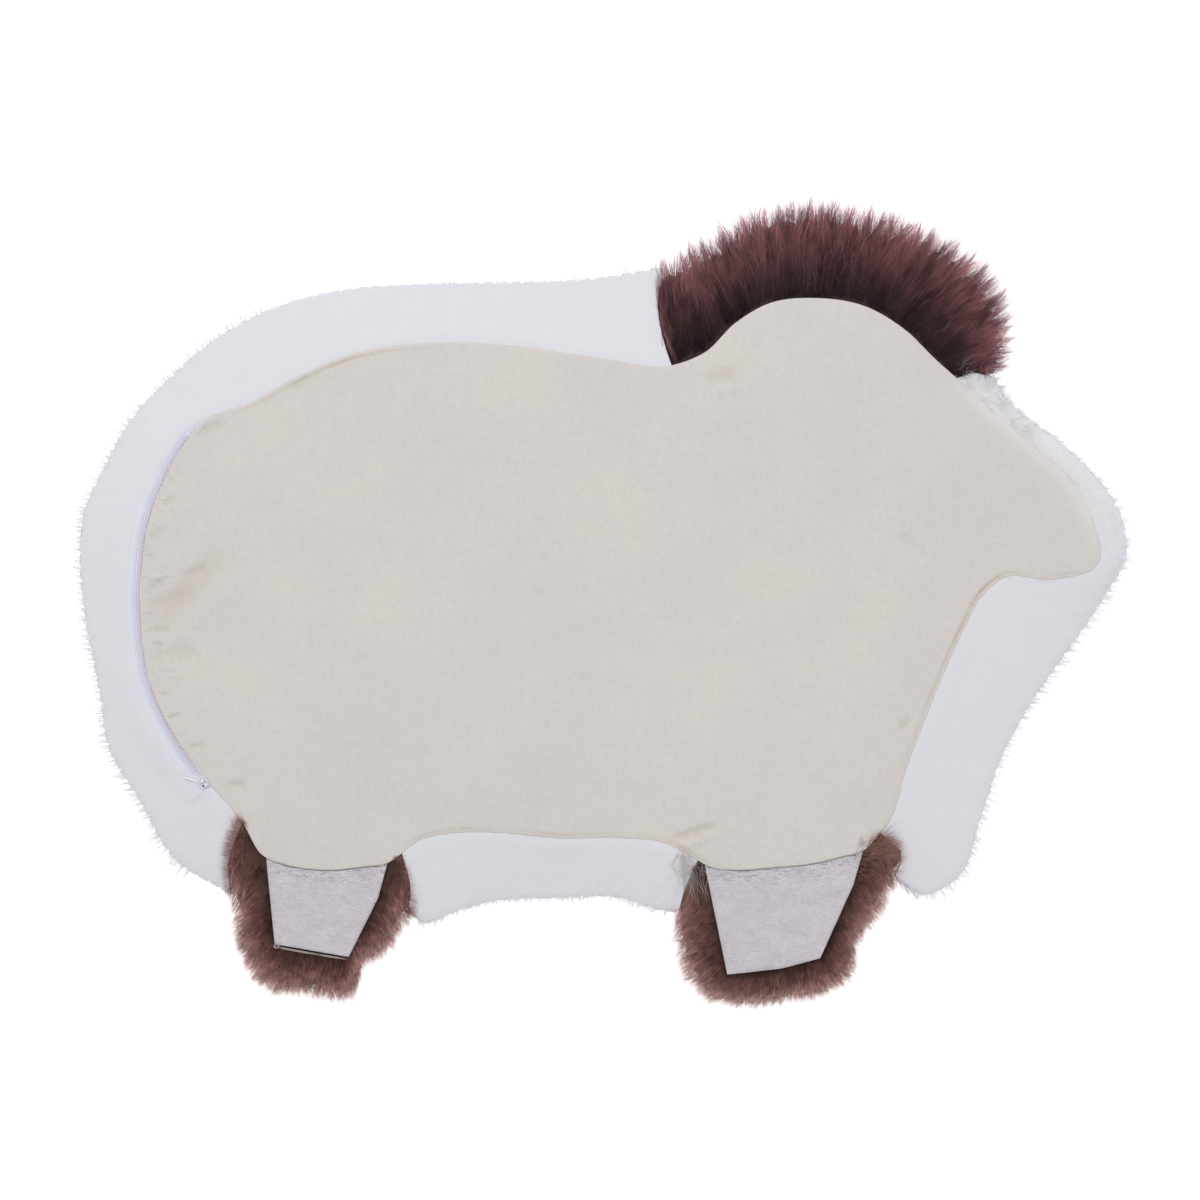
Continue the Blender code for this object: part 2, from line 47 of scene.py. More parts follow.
# The rug's outline, section by section round the animal, in millimetres: a place on
# the edge of the canvas or of a foot's leather, then one at the wool's reach.
SECTIONS = {
    "back": (
        (60, 202, 50, 295), (-1, 208, -4, 284), (-69, 218, -82, 279), (-145, 221, -158, 277),
        (-205, 213, -218, 273), (-256, 193, -277, 259), (-298, 170, -326, 234),
        (-337, 155, -372, 194), (-355, 134, -403, 161), (-372, 102, -429, 116),
        (-384, 69, -447, 75), (-390, 28, -449, 35), (-390, -23, -443, -18),
        (-382, -69, -432, -74), (-362, -112, -425, -124), (-332, -153, -401, -166),
        (-315, -172, -366, -224),
    ),
    "hind_foot": (
        (-304, -186, -316, -255), (-281, -250, -314, -273), (-279, -278, -306, -303),
        (-266, -291, -288, -330), (-240, -295, -246, -335), (-216, -298, -214, -339),
        (-208, -284, -203, -308), (-196, -262, -182, -298), (-186, -240, -166, -275),
    ),
    "belly": (
        (-169, -212, -161, -270), (-156, -202, -150, -279), (-128, -195, -128, -271),
        (-94, -194, -103, -262), (-35, -199, -35, -256), (20, -199, 16, -256),
        (54, -203, 46, -266),
    ),
    "fore_foot": (
        (82, -218, 63, -268), (99, -262, 60, -289), (104, -292, 69, -316),
        (110, -313, 88, -336), (130, -313, 116, -343), (152, -310, 152, -340),
        (178, -303, 188, -334), (190, -292, 214, -320), (202, -266, 219, -292),
        (212, -240, 240, -264),
    ),
    "chest": (
        (237, -194, 252, -239), (244, -186, 278, -254), (250, -172, 308, -241),
        (258, -143, 330, -186), (271, -108, 350, -129), (288, -65, 379, -79),
        (307, -23, 406, -42), (326, 10, 429, -10), (342, 22, 442, 12), (382, 20, 449, 30),
        (422, 34, 450, 47), (417, 71, 445, 78), (400, 103, 428, 104), (365, 135, 393, 138),
        (326, 169, 357, 165),
    ),
    "crest": (
        (302, 191, 336, 195), (284, 207, 350, 239), (258, 232, 322, 295), (224, 252, 259, 326),
        (182, 259, 190, 343), (144, 255, 131, 334), (114, 238, 86, 308), (88, 213, 66, 300),
    ),
}
FOOT_HEMS = {
    "hind_foot": ((-285, -215), (-269, -221), (-230, -226), (-201, -223), (-181, -220)),
    "fore_foot": ((94, -224), (114, -226), (144, -224), (182, -220), (207, -214), (222, -210)),
}
# How far the zip tape stands out of the canvas: sections of the back, millimetres.
TAPE_WIDTHS = ((7.0, 2), (7.7, 7), (8.6, 7.5), (9.6, 12), (12.0, 12), (14.3, 12.5), (15.1, 7))


# ---------------------------------------------------------------- lines and maps

def lengths_of(vectors):
    return np.linalg.norm(vectors, axis=-1)


def turned(vectors):
    """Directions of the plan turned a quarter to the right."""
    return np.stack((vectors[..., 1], -vectors[..., 0]), axis=-1)


class Line:
    """Smooth line through points of the plan; a whole section is one point."""

    def __init__(self, points, closed=False):
        self.points = np.array(points, float) * MM
        self.closed = closed
        before = np.roll(self.points, 1, axis=0)
        after = np.roll(self.points, -1, axis=0)
        if not closed:
            before[0] = 2 * self.points[0] - self.points[1]
            after[-1] = 2 * self.points[-1] - self.points[-2]
        back, ahead = self.points - before, after - self.points
        behind, beyond = lengths_of(back)[:, None], lengths_of(ahead)[:, None]
        self.slopes = (back / behind * beyond + ahead / beyond * behind) / (behind + beyond)
        last = len(points) if closed else len(points) - 1
        self.fine = np.linspace(0, last, last * 24 + 1)
        steps = lengths_of(np.diff(self.at(self.fine), axis=0))
        self.travelled = np.concatenate(([0], np.cumsum(steps)))
        self.length = self.travelled[-1]

    def at(self, sections):
        sections = np.asarray(sections, float)
        count = len(self.points)
        last = count - 1 if self.closed else count - 2
        start = np.clip(np.floor(sections).astype(int), 0, last)
        end = (start + 1) % count
        share = (sections - start)[..., None]
        here, there = self.points[start], self.points[end]
        length = lengths_of(there - here)[..., None]
        return (here * (1 - 3 * share**2 + 2 * share**3) + there * (3 * share**2 - 2 * share**3)
                + self.slopes[start] * length * (share - 2 * share**2 + share**3)
                + self.slopes[end] * length * (share**3 - share**2))

    def sections(self, distances):
        return np.interp(distances, self.travelled, self.fine)

    def distances(self, sections):
        return np.interp(sections, self.fine, self.travelled)

    def headings(self, sections):
        ahead = self.at(np.asarray(sections) + 0.01) - self.at(np.asarray(sections) - 0.01)
        return ahead / lengths_of(ahead)[..., None]

    def beside(self, sections, out):
        """Places to the right of the line, which is outwards on the canvas's edge."""
        return self.at(sections) + turned(self.headings(sections)) * out

    def even(self, step):
        """Places a step apart round a closed line, with its direction at each."""
        count = max(1, round(self.length / step))
        sections = self.sections(np.linspace(0, self.length, count + 1)[:-1])
        return self.at(sections), self.headings(sections)


class Comb:
    """How the wool lies in one part of the outline: from its hide out to its rim."""

    def __init__(self, name):
        names = list(SECTIONS)
        rows = SECTIONS[name] + SECTIONS[names[(names.index(name) + 1) % len(names)]][:1]
        self.hide = Line([row[:2] for row in rows])
        self.tip = Line([row[2:] for row in rows])

    def at(self, sections, shares):
        hide = self.hide.at(sections)
        return hide + (self.tip.at(sections) - hide) * np.asarray(shares)[..., None]

    def reach(self, sections):
        """The wool's length and its direction from the hide."""
        way = self.tip.at(sections) - self.hide.at(sections)
        length = lengths_of(way)
        return length, way / length[..., None]


def canvas_points():
    points = []
    for name, rows in SECTIONS.items():
        points += [row[:2] for row in (rows[:1] if name in FOOT_HEMS else rows)]
        points += FOOT_HEMS.get(name, ())
    return points


class Ground:
    """Tops of some meshes, for what lies on them."""

    def __init__(self, meshes):
        corners, faces = [], []
        for mesh in meshes:
            start = len(corners)
            corners += [vert.co for vert in mesh.vertices]
            faces += [[start + index for index in face.vertices] for face in mesh.polygons]
        self.tree = BVHTree.FromPolygons(corners, faces)

    def at(self, places, otherwise=8 * MM):
        down = Vector((0, 0, -1))
        hits = [self.tree.ray_cast(Vector((*place, 0.2)), down)[0] for place in places]
        return np.array([otherwise if hit is None else hit.z for hit in hits])


class Relief:
    """Heights of some of the rug's solids on a grid, blurred and read at any place."""

    STEP = 2 * MM
    LEFT, LOW, WIDE, HIGH = -0.47, -0.365, 470, 365

    def __init__(self, nodes, blur):
        xs = self.LEFT + np.arange(self.WIDE) * self.STEP
        ys = self.LOW + np.arange(self.HIGH) * self.STEP
        places = np.stack(np.meshgrid(xs, ys), axis=-1).reshape(-1, 2)
        ground = Ground([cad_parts[node].data for node in nodes])
        heights = ground.at(places, 0).reshape(self.HIGH, self.WIDE)
        self.there = (heights > 0).astype(float)
        weight = self.there.copy()
        heights *= weight
        for _ in range(blur):
            heights, weight = self.spread(heights), self.spread(weight)
        self.heights = heights / np.maximum(weight, 1e-6)

    @staticmethod
    def spread(grid):
        for axis in (0, 1):
            grid = (np.roll(grid, 1, axis) + 2 * grid + np.roll(grid, -1, axis)) / 4
        return grid

    def read(self, grid, places):
        column = np.clip((places[..., 0] - self.LEFT) / self.STEP, 0, self.WIDE - 1.001)
        row = np.clip((places[..., 1] - self.LOW) / self.STEP, 0, self.HIGH - 1.001)
        left, low = column.astype(int), row.astype(int)
        across, up = column - left, row - low
        lower = grid[low, left] * (1 - across) + grid[low, left + 1] * across
        upper = grid[low + 1, left] * (1 - across) + grid[low + 1, left + 1] * across
        return lower * (1 - up) + upper * up

    def at(self, places):
        return self.read(self.heights, places)

    def covers(self, places):
        return self.read(self.there, places) > 0.02


combs = {name: Comb(name) for name in SECTIONS}
canvas_edge = Line(canvas_points(), closed=True)
FLEECES = ("body_fleece", "crest_fleece", "hind_foot_fleece", "fore_foot_fleece")
SKINS = ("hind_foot_skin", "fore_foot_skin")
wool_relief = Relief(FLEECES, blur=3)
soft_relief = Relief(FLEECES, blur=34)
canvas_relief = Relief(["backing"], blur=14)
tape_relief = Relief(["zip_tape"], blur=6)
sewn_relief = Relief(["zip_tape", *SKINS], blur=2)
cover = Relief(["backing", "zip_tape", *SKINS], blur=0)
skin_cover = Relief(SKINS, blur=0)


def bare(name, sections):
    """How far the zip tape hides the wool, from the canvas outwards."""
    stops, widths = zip(*TAPE_WIDTHS)
    widths = np.interp(sections, stops, widths, left=0, right=0) * MM
    return widths if name == "back" else np.zeros_like(sections)


# The canvas's edge in steps of a millimetre: how far the tape stands out of it, and
# how softly it ends in the wool of the forehead, between two sections.
FOREHEAD = (47.2, 52.3)
edge_places, edge_headings = canvas_edge.even(1 * MM)
edge_sections = canvas_edge.sections(
    np.arange(len(edge_places)) / len(edge_places) * canvas_edge.length)
edge_tape = bare("back", edge_sections)
edge_soft = np.clip(np.minimum(edge_sections - FOREHEAD[0], FOREHEAD[1] - edge_sections), 0, 1)
edge_finder = kdtree.KDTree(len(edge_places))
for index, place in enumerate(edge_places):
    edge_finder.insert((*place, 0), index)
edge_finder.balance()


def nearest_edge(places):
    """How far off the canvas's edge some places are, and the nearest step of it."""
    found = [edge_finder.find((*place, 0)) for place in places]
    return np.array([row[2] for row in found]), np.array([row[1] for row in found])


# ---------------------------------------------------------------- canvas's shape

SHEET = 0.9 * MM
# Creases of the canvas in millimetres: x, y of one end and of the other, how wide,
# and how high (below zero, how deep).
CREASES = (
    (-384, 11, -371, 20, 3, -1.5), (-385, 21, -362, 25, 3, 1.2),
    (-384, -26, -318, 48, 13, -2.0), (-368, -40, -300, 26, 13, 1.5),
    (-390, -4, -342, 10, 8, -1.3), (-390, 24, -348, 44, 9, 1.0),
    (-386, -46, -340, -40, 9, -1.3), (-382, -60, -348, -58, 7, 0.9),
    (-373, 82, -362, 91, 3, -1.4), (-342, 144, -319, 155, 5, -1.8),
    (-386, 56, -367, 65, 4, -1.2), (-266, 182, -244, 193, 5, -1.8),
    (-237, 203, -207, 212, 5, -2.0), (-385, -23, -366, -22, 3, -1.4),
    (-382, -35, -370, -35, 3, -1.4), (-355, 22, -335, 32, 5, -1.4),
    (-377, -57, -360, -59, 3, -1.4), (-350, -123, -337, -120, 3, -1.4),
    (-320, -155, -300, -153, 5, -1.8), (60, -200, 99, -188, 5, -2.2),
    (62, -208, 100, -196, 5, 1.2), (88, 191, 116, 195, 8, -2.0),
    (92, 180, 122, 184, 8, 1.2), (254, -108, 262, -98, 5, -1.5),
    (258, 62, 262, 46, 6, -1.0), (379, 16.5, 393, 22.5, 1.6, -1.5),
    (393, 22.5, 407, 24.5, 1.6, -1.2), (-390, 40, -378, 41, 2, -0.9),
    (-391, -10, -379, -9, 2, -0.9), (-377, -78, -366, -76, 2, -0.9),
    (-368, -98, -356, -93, 2, -0.9),
)
CREASE_STRENGTH = 1.3
# Where the hem's seam shows as a groove, with painted shade in it: a place on the
# edge in millimetres, how far round it, and how strongly.
HEM_GROOVES = (
    (326, 10, 30, 1.0), (307, -23, 30, 0.9), (288, -65, 35, 0.7), (268, -110, 30, 0.3),
    (395, 20, 14, 0.4), (-220, 207, 60, 0.6), (-280, 178, 30, 0.4), (-130, -196, 45, 0.4),
    (-40, -199, 40, 0.5), (70, -210, 30, 0.5),
)
HEM_SEAM = 3.3  # millimetres in from the edge
HEM_WIDTH = 6.5
# Where the zip's pull lies in the wool: x, y, how far round it, how deep.
PULL_BED = ((-351, -148.5, 8, 1.7), (-369, -170, 9, 0.9), (-380, -128, 8, 0.7))


def stitch_puckers():
    """Short creases square to the canvas's edge, where the zip is sewn to it."""
    dice = np.random.default_rng(5)
    rows = []
    stop, last = canvas_edge.distances((7.1, 14.9))
    while stop < last:
        section = canvas_edge.sections(stop)
        heading = canvas_edge.headings(section)
        start = canvas_edge.beside(section, 1.5 * MM)
        end = start - turned(heading) * dice.uniform(7, 14) * MM
        end += heading * dice.uniform(-2, 2) * MM
        rows.append((*(start / MM), *(end / MM), 1.3, dice.uniform(-0.6, -0.25)))
        stop += dice.uniform(7, 15) * MM
    return tuple(rows)


CREASES += stitch_puckers()


def nearness(places, rows):
    """For each place, the strongest of some spots: x, y, how far round, strength."""
    strongest = np.zeros(len(places))
    for x, y, size, strength in rows:
        off = lengths_of(places - np.array((x, y)) * MM)
        strongest = np.maximum(strongest, strength * np.exp(-((off / (size * MM)) ** 2)))
    return strongest


def creases_at(places):
    """Height of the creases at places of the canvas."""
    heights = np.zeros(len(places))
    for *ends, width, height in CREASES:
        start, end = np.array(ends).reshape(2, 2) * MM
        along = end - start
        share = ((places - start) @ along) / lengths_of(along) ** 2
        off = lengths_of(places - start - np.clip(share, 0, 1)[:, None] * along)
        fade = np.clip(1.6 * np.sin(np.clip(share, 0.02, 0.98) * math.pi), 0, 1)
        heights += CREASE_STRENGTH * height * MM * np.exp(-2 * (off / (width * MM)) ** 2) * fade
    return heights


def inside(points, loop):
    """Which points of the plan lie inside a closed loop."""
    crossings = np.zeros(len(points), int)
    for start, end in zip(loop, np.roll(loop, -1, axis=0)):
        if start[1] != end[1]:
            spans = (start[1] > points[:, 1]) != (end[1] > points[:, 1])
            x = start[0] + (points[:, 1] - start[1]) / (end[1] - start[1]) * (end[0] - start[0])
            crossings += spans & (points[:, 0] < x)
    return crossings % 2 == 1


def canvas_shape(places, off, step):
    """Top of the canvas with its hem, waves and creases, and how strong its seam's
    groove, its rounded edge and its creases are."""
    hemmed = nearness(places, HEM_GROOVES)
    groove = hemmed * np.exp(-(((off / MM - HEM_SEAM) / 1.1) ** 2))
    roll = np.clip(1 - off / (1.3 * MM), 0, 1)
    firm = 1 - edge_soft[step]
    hem = (0.1 + 0.4 * hemmed) * np.clip((HEM_WIDTH - off / MM) / 2, 0, 1)
    hem = (hem - 0.8 * np.clip(1 - off / (9 * MM), 0, 1) ** 2) * MM * firm
    waves = np.array([noise.noise(Vector((x * 22, y * 22, 3))) for x, y in places])
    crease = creases_at(places) * np.clip((off / MM - 1.5) / 3, 0, 1)
    top = canvas_relief.at(places) - (1 - np.sqrt(1 - roll**2)) * 0.8 * MM * firm
    top += hem + waves * 0.6 * MM + crease - 0.6 * groove * MM
    return top, groove, roll, crease


# How high the wool comes beside the canvas or the tape, step by step of the edge.
canvas_rim = edge_places - turned(edge_headings) * 1.5 * MM
wool_beside = np.where(
    edge_tape > 0,
    tape_relief.at(edge_places + turned(edge_headings) * edge_tape[:, None]) - 0.1 * MM,
    canvas_shape(canvas_rim, *nearest_edge(canvas_rim))[0] - (0.9 - 0.8 * edge_soft) * MM,
)
wool_beside = np.mean([np.roll(wool_beside, shift) for shift in range(-8, 9)], axis=0)


def wool_top(places, shares):
    """Top of the white wool: smooth, level with what is sewn over it, and the
    solid's own towards the rim."""
    near_rim = np.clip((shares - 0.7) / 0.2, 0, 1)
    top = soft_relief.at(places) * (1 - near_rim) + wool_relief.at(places) * near_rim
    off, step = nearest_edge(places)
    level = np.clip(1 - np.maximum(off - edge_tape[step], 0) / (20 * MM), 0, 1)
    top += (wool_beside[step] - top) * level**2 * (3 - 2 * level)
    return top - nearness(places, PULL_BED) * MM


# ---------------------------------------------------------------- materials

def linear(*colour):
    """Colour for a socket, from sRGB values of 0 to 255."""
    values = np.array(colour) / 255
    return (*np.where(values > 0.04045, ((values + 0.055) / 1.055) ** 2.4, values / 12.92), 1)


class Finish:
    """A material's nodes, added one after the other."""

    def __init__(self, name, roughness, specular):
        self.material = bpy.data.materials.new(name)
        self.material.use_nodes = True
        self.tree = self.material.node_tree
        self.shader = self.tree.nodes["Principled BSDF"].inputs
        self.give(self.shader["Roughness"], roughness)
        self.give(self.shader["Specular IOR Level"], specular)

    def give(self, socket, value):
        if isinstance(value, bpy.types.NodeSocket):
            self.tree.links.new(value, socket)
        else:
            socket.default_value = value

    def node(self, kind, inputs=None, **settings):
        """Outputs of a new node, each of its inputs linked or given a value."""
        node = self.tree.nodes.new("ShaderNode" + kind)
        for name, value in settings.items():
            setattr(node, name, value)
        for name, value in (inputs or {}).items():
            self.give(node.inputs[name], value)
        return node.outputs

    def place(self):
        return self.node("TexCoord")["Object"]

    def way(self, name):
        return self.node("UVMap", uv_map=name)["UV"]

    def painted(self, name):
        return self.node("Attribute", attribute_name=name)["Fac"]

    def split(self, vector):
        return self.node("SeparateXYZ", {"Vector": vector})

    def stretched(self, vector, scale, location=(0, 0, 0)):
        inputs = {"Vector": vector, "Scale": scale, "Location": location}
        return self.node("Mapping", inputs)["Vector"]

    def noise(self, vector, scale=1.0, detail=2.0, distortion=0.0):
        inputs = {"Vector": vector, "Scale": scale, "Detail": detail, "Distortion": distortion}
        return self.node("TexNoise", inputs)["Fac"]

    def ramp(self, value, *stops):
        """Colours at places of a value, in rows of the place and its sRGB values."""
        colour = self.node("ValToRGB", {"Fac": value})["Color"]
        points = colour.node.color_ramp.elements
        while len(points) < len(stops):
            points.new(0.5)
        for point, (place, *shade) in zip(points, stops):
            point.position = place
            point.color = linear(*shade)
        return colour

    def blend(self, share, first, second, kind="MIX"):
        inputs = {0: share, 6: first, 7: second}
        return self.node("Mix", inputs, data_type="RGBA", blend_type=kind)[2]

    def times(self, first, second):
        return self.blend(1.0, first, second, "MULTIPLY")

    def maths(self, operation, *values):
        return self.node("Math", dict(enumerate(values)), operation=operation)[0]

    def range(self, value, low, high, new_low, new_high):
        inputs = {"Value": value, "From Min": low, "From Max": high, "To Min": new_low,
                  "To Max": new_high}
        return self.node("MapRange", inputs)["Result"]

    def colour(self, socket):
        self.give(self.shader["Base Color"], socket)

    def bump(self, height, distance):
        """Raise the surface by a height pattern, distance millimetres at most."""
        inputs = {"Height": height, "Distance": distance * MM, "Strength": 1.0}
        normal = self.shader["Normal"]
        if normal.is_linked:
            inputs["Normal"] = normal.links[0].from_socket
        self.give(normal, self.node("Bump", inputs)["Normal"])


def hair_finish(name, dark, roughness, *stops):
    """Hairs: coloured from root to tip along V, and each darker or lighter by U."""
    finish = Finish(name, roughness, 0.25)
    way = finish.split(finish.way("OFBake"))
    shade = finish.range(way["X"], 0, 1, dark, 1)
    finish.colour(finish.times(finish.ramp(way["Y"], *stops), shade))
    return finish.material


def mass_finish(name, roughness, streak, broad_bump, fine_bump, *stops, cream=None):
    """Wool under the hairs, streaked the way that it is combed, and creamy where
    the attribute of that name says so."""
    finish = Finish(name, roughness, 0.2)
    way = finish.way("combed")
    colour = finish.ramp(finish.split(way)["Y"], *stops)
    if cream:
        colour = finish.blend(finish.painted("creamy"), colour, linear(*cream))
    fine = finish.noise(finish.stretched(way, (1300, 5, 1)), detail=3)
    broad = finish.noise(finish.stretched(way, (170, 2, 1)))
    dark = finish.range(finish.blend(0.5, fine, broad), 0.3, 0.7, 1 - streak, 1.0)
    finish.colour(finish.times(colour, dark))
    finish.bump(broad, broad_bump)
    finish.bump(fine, fine_bump)
    return finish.material


def pile_finish(name, roughness, dark, light):
    """The pile side, in soft curls."""
    finish = Finish(name, roughness, 0.2)
    place = finish.place()
    tufts = finish.noise(place, 55, detail=3, distortion=1.2)
    curls = finish.noise(place, 420, detail=3, distortion=2.5)
    finish.colour(finish.ramp(finish.blend(0.5, tufts, curls), (0.3, *dark), (0.7, *light)))
    finish.bump(tufts, 3)
    finish.bump(curls, 0.8)
    return finish.material


def canvas_finish():
    """Unbleached plain-woven cotton with small slubs, specks and a smudge; painted highlight and
    shade at its edge and creases.
    """
    finish = Finish("cotton_canvas", 0.92, 0.15)
    place = finish.place()
    mottled = finish.noise(place, 260, detail=3)
    slubs = finish.noise(finish.stretched(place, (90, 1300, 90)))
    slubs_up = finish.noise(finish.stretched(place, (1300, 90, 90)))
    colour = finish.ramp(finish.noise(place, 14, detail=4),
                         (0.3, 207, 202, 199), (0.7, 212, 206, 201))
    grain = finish.blend(0.4, finish.blend(0.5, slubs, slubs_up), mottled)
    grain = finish.range(grain, 0.3, 0.7, 0.93, 1.06)
    # Painted highlight and shade: lighter along the canvas's rolled edge, darker in the hem's seam
    # groove and in the creases' troughs.
    painted_shading = finish.ramp(finish.painted("painted_edge_shading"), (0.2, 255, 253, 250), (0.5, 246, 246, 246),
                       (0.75, 231, 224, 216), (1.0, 205, 192, 180))
    colour = finish.times(finish.times(colour, grain), painted_shading)
    colour = finish.blend(finish.painted("soft"), colour, linear(210, 207, 206))
    specks = finish.node("TexVoronoi", {"Vector": place, "Scale": 26.0})
    speck = finish.range(specks["Distance"], 0.012, 0.022, 0.7, 1.0)
    few = finish.node("SeparateColor", {"Color": specks["Color"]})["Red"]
    none = finish.range(few, 0.78, 0.8, 1.0, 0.0)
    colour = finish.times(colour, finish.maths("MAXIMUM", speck, none))
    spot = finish.stretched(place, (1, 1, 1), (-221 * MM, 202 * MM, 0))
    spot = finish.stretched(spot, (330, 190, 0))
    away = finish.node("VectorMath", {0: spot}, operation="LENGTH")["Value"]
    ragged = finish.maths("ADD", away, finish.maths("MULTIPLY", finish.noise(place, 500), 0.8))
    smudge = finish.range(ragged, 0.9, 1.5, 1.0, 0.0)
    finish.colour(finish.blend(smudge, colour, linear(176, 172, 170)))
    turns = 2 * math.pi / (0.75 * MM)
    warp, weft = (finish.maths("SINE", finish.maths("MULTIPLY", finish.split(place)[axis], turns))
                  for axis in "XY")
    finish.bump(finish.range(finish.maths("MULTIPLY", warp, weft), -1, 1, 0, 1), 0.08)
    finish.bump(grain, 0.5)
    return finish.material


def leather_finish():
    """Flesh side of a dyed sheepskin: a fine nap over faint wrinkles."""
    finish = Finish("grey_suede", 0.85, 0.2)
    place = finish.place()
    nap = finish.noise(place, 900, detail=4)
    cloudy = finish.noise(place, 75, detail=5, distortion=0.6)
    wrinkles = finish.noise(finish.stretched(place, (190, 800, 200)), detail=4, distortion=1.0)
    tone = finish.blend(0.45, finish.blend(0.55, cloudy, wrinkles), nap)
    colour = finish.ramp(tone, (0.3, 168, 164, 169), (0.5, 191, 187, 192), (0.7, 210, 206, 210))
    # Painted shade: near the seam the colour darkens in the wrinkles' troughs.
    near_seam = finish.range(finish.painted("seam"), 0.12, 0.5, 0.0, 0.7)
    dark = finish.maths("MULTIPLY", near_seam, finish.range(wrinkles, 0.38, 0.5, 1.0, 0.0))
    finish.colour(finish.blend(dark, colour, linear(146, 141, 149)))
    finish.bump(wrinkles, 0.5)
    finish.bump(nap, 0.25)
    return finish.material


def tape_finish():
    """Bluish white tape, more violet along the coil."""
    finish = Finish("zip_weave", 0.7, 0.25)
    way = finish.way("woven")
    across = finish.range(finish.split(way)["Y"], 0, 12 * MM, 0, 1)
    colour = finish.ramp(across, (0.0, 218, 215, 226), (0.3, 216, 214, 225),
                         (0.5, 211, 213, 224), (1.0, 211, 213, 223))
    turns = finish.maths("SINE", finish.maths("MULTIPLY", across, 2 * math.pi * 12 / 2.2))
    lines = finish.maths("MULTIPLY", finish.range(turns, 0.2, 0.9, 0.0, 0.75),
                         finish.range(across, 0.56, 0.64, 1.0, 0.0))
    colour = finish.blend(lines, colour, linear(190, 180, 208))
    ribs = finish.noise(finish.stretched(way, (700, 2600, 1)), detail=1)
    finish.colour(finish.times(colour, finish.range(ribs, 0.3, 0.7, 0.95, 1.0)))
    finish.bump(ribs, 0.15)
    return finish.material


def plain_finish(name, colour, roughness, variation, scale):
    """A hard or spun small part: one colour, slightly uneven."""
    finish = Finish(name, roughness, 0.5)
    pattern = finish.noise(finish.place(), scale, detail=3)
    shade = finish.range(pattern, 0.3, 0.7, 1 - variation, 1)
    finish.colour(finish.times(linear(*colour), shade))
    finish.bump(pattern, 0.05)
    return finish.material


# ---------------------------------------------------------------- pieces

def add_piece(name, mesh, materials, nodes=()):
    for material in materials:
        mesh.materials.append(material)
    piece = bpy.data.objects.new(name, mesh)
    bpy.context.scene.collection.objects.link(piece)
    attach(piece, "root")
    if nodes:
        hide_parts(*nodes)
    return piece


def welded(node, longest, times):
    """A closed copy of a solid, its longer edges cut in two some times over."""
    bm = bmesh.new()
    bm.from_mesh(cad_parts[node].data)
    bmesh.ops.remove_doubles(bm, verts=bm.verts, dist=0.01 * MM)
    for _ in range(times):
        long = [edge for edge in bm.edges if edge.calc_length() > longest * MM]
        bmesh.ops.subdivide_edges(bm, edges=long, cuts=1, use_grid_fill=True)
        bmesh.ops.triangulate(bm, faces=bm.faces)
    return bm


def to_mesh(bm, name):
    mesh = bpy.data.meshes.new(name)
    bm.to_mesh(mesh)
    bm.free()
    mesh.shade_smooth()
    return mesh


def thickened(bm, thickness, name):
    """A flat piece's faces turned up and closed below by its thickness."""
    bmesh.ops.recalc_face_normals(bm, faces=bm.faces)
    if sum(face.normal.z for face in bm.faces) < 0:
        bmesh.ops.reverse_faces(bm, faces=bm.faces)
    for element in bmesh.ops.extrude_face_region(
            bm, geom=bm.faces[:], use_keep_orig=True)["geom"]:
        if isinstance(element, bmesh.types.BMVert):
            element.co.z -= thickness
    bmesh.ops.recalc_face_normals(bm, faces=bm.faces)
    return to_mesh(bm, name)


SIDES = 3
# Thickness of a strand at its points but the last, by how many points it has.
HAIR = {3: (0.8, 1.0), 4: (0.8, 1.0, 0.65), 5: (0.8, 1.0, 0.85, 0.5)}
TOOTH = {5: (0.6, 1.0, 1.0, 0.8)}
UP = np.array((0.02, 0.03, 1.0))


def tones_of(shades, parts):
    """Map of strands' points: each strand's shade, and the way from root to tip."""
    return np.stack(np.broadcast_arrays(shades[:, None], parts), axis=-1)


def strand_arrays(paths, widths, tones, profiles, flat):
    """Corners, faces and map of closed three-sided strands along paths, an array of
    strands by points by places; flat is how thick a strand is for its width."""
    count, points, _ = paths.shape
    rings = points - 1
    way = np.gradient(paths, axis=1)
    way /= np.maximum(lengths_of(way)[..., None], 1e-9)
    side = np.cross(UP, way)
    side /= np.maximum(lengths_of(side)[..., None], 1e-9)
    up = np.cross(way, side)[:, :rings, None, :]
    side = side[:, :rings, None, :]
    radius = np.array(profiles[points])[None, :] * widths[:, None] / 2
    angles = np.radians(90 + 360 / SIDES * np.arange(SIDES))[None, None, :, None]
    ring = paths[:, :rings, None, :] + radius[:, :, None, None] * (
        np.cos(angles) * side + flat * np.sin(angles) * up)
    ring = ring.reshape(count, rings * SIDES, 3)
    corners = np.concatenate((ring, paths[:, -1:, :]), axis=1)
    each = rings * SIDES + 1

    pattern = [(0, 2, 1)]
    for level in range(rings):
        for corner in range(SIDES):
            here, after = level * SIDES + corner, level * SIDES + (corner + 1) % SIDES
            if level == rings - 1:
                pattern.append((here, after, each - 1))
            else:
                pattern += [(here, after, after + SIDES), (here, after + SIDES, here + SIDES)]
    faces = (np.array(pattern)[None] + (np.arange(count) * each)[:, None, None]).reshape(-1, 3)

    spots = np.concatenate((np.repeat(tones[:, :rings], SIDES, axis=1), tones[:, -1:]), axis=1)
    spots[..., 0] += np.append(np.tile(np.arange(SIDES) - 1, rings), 0) * 0.006
    return corners.reshape(-1, 3), faces, np.clip(spots, 0.01, 0.99).reshape(-1, 2)


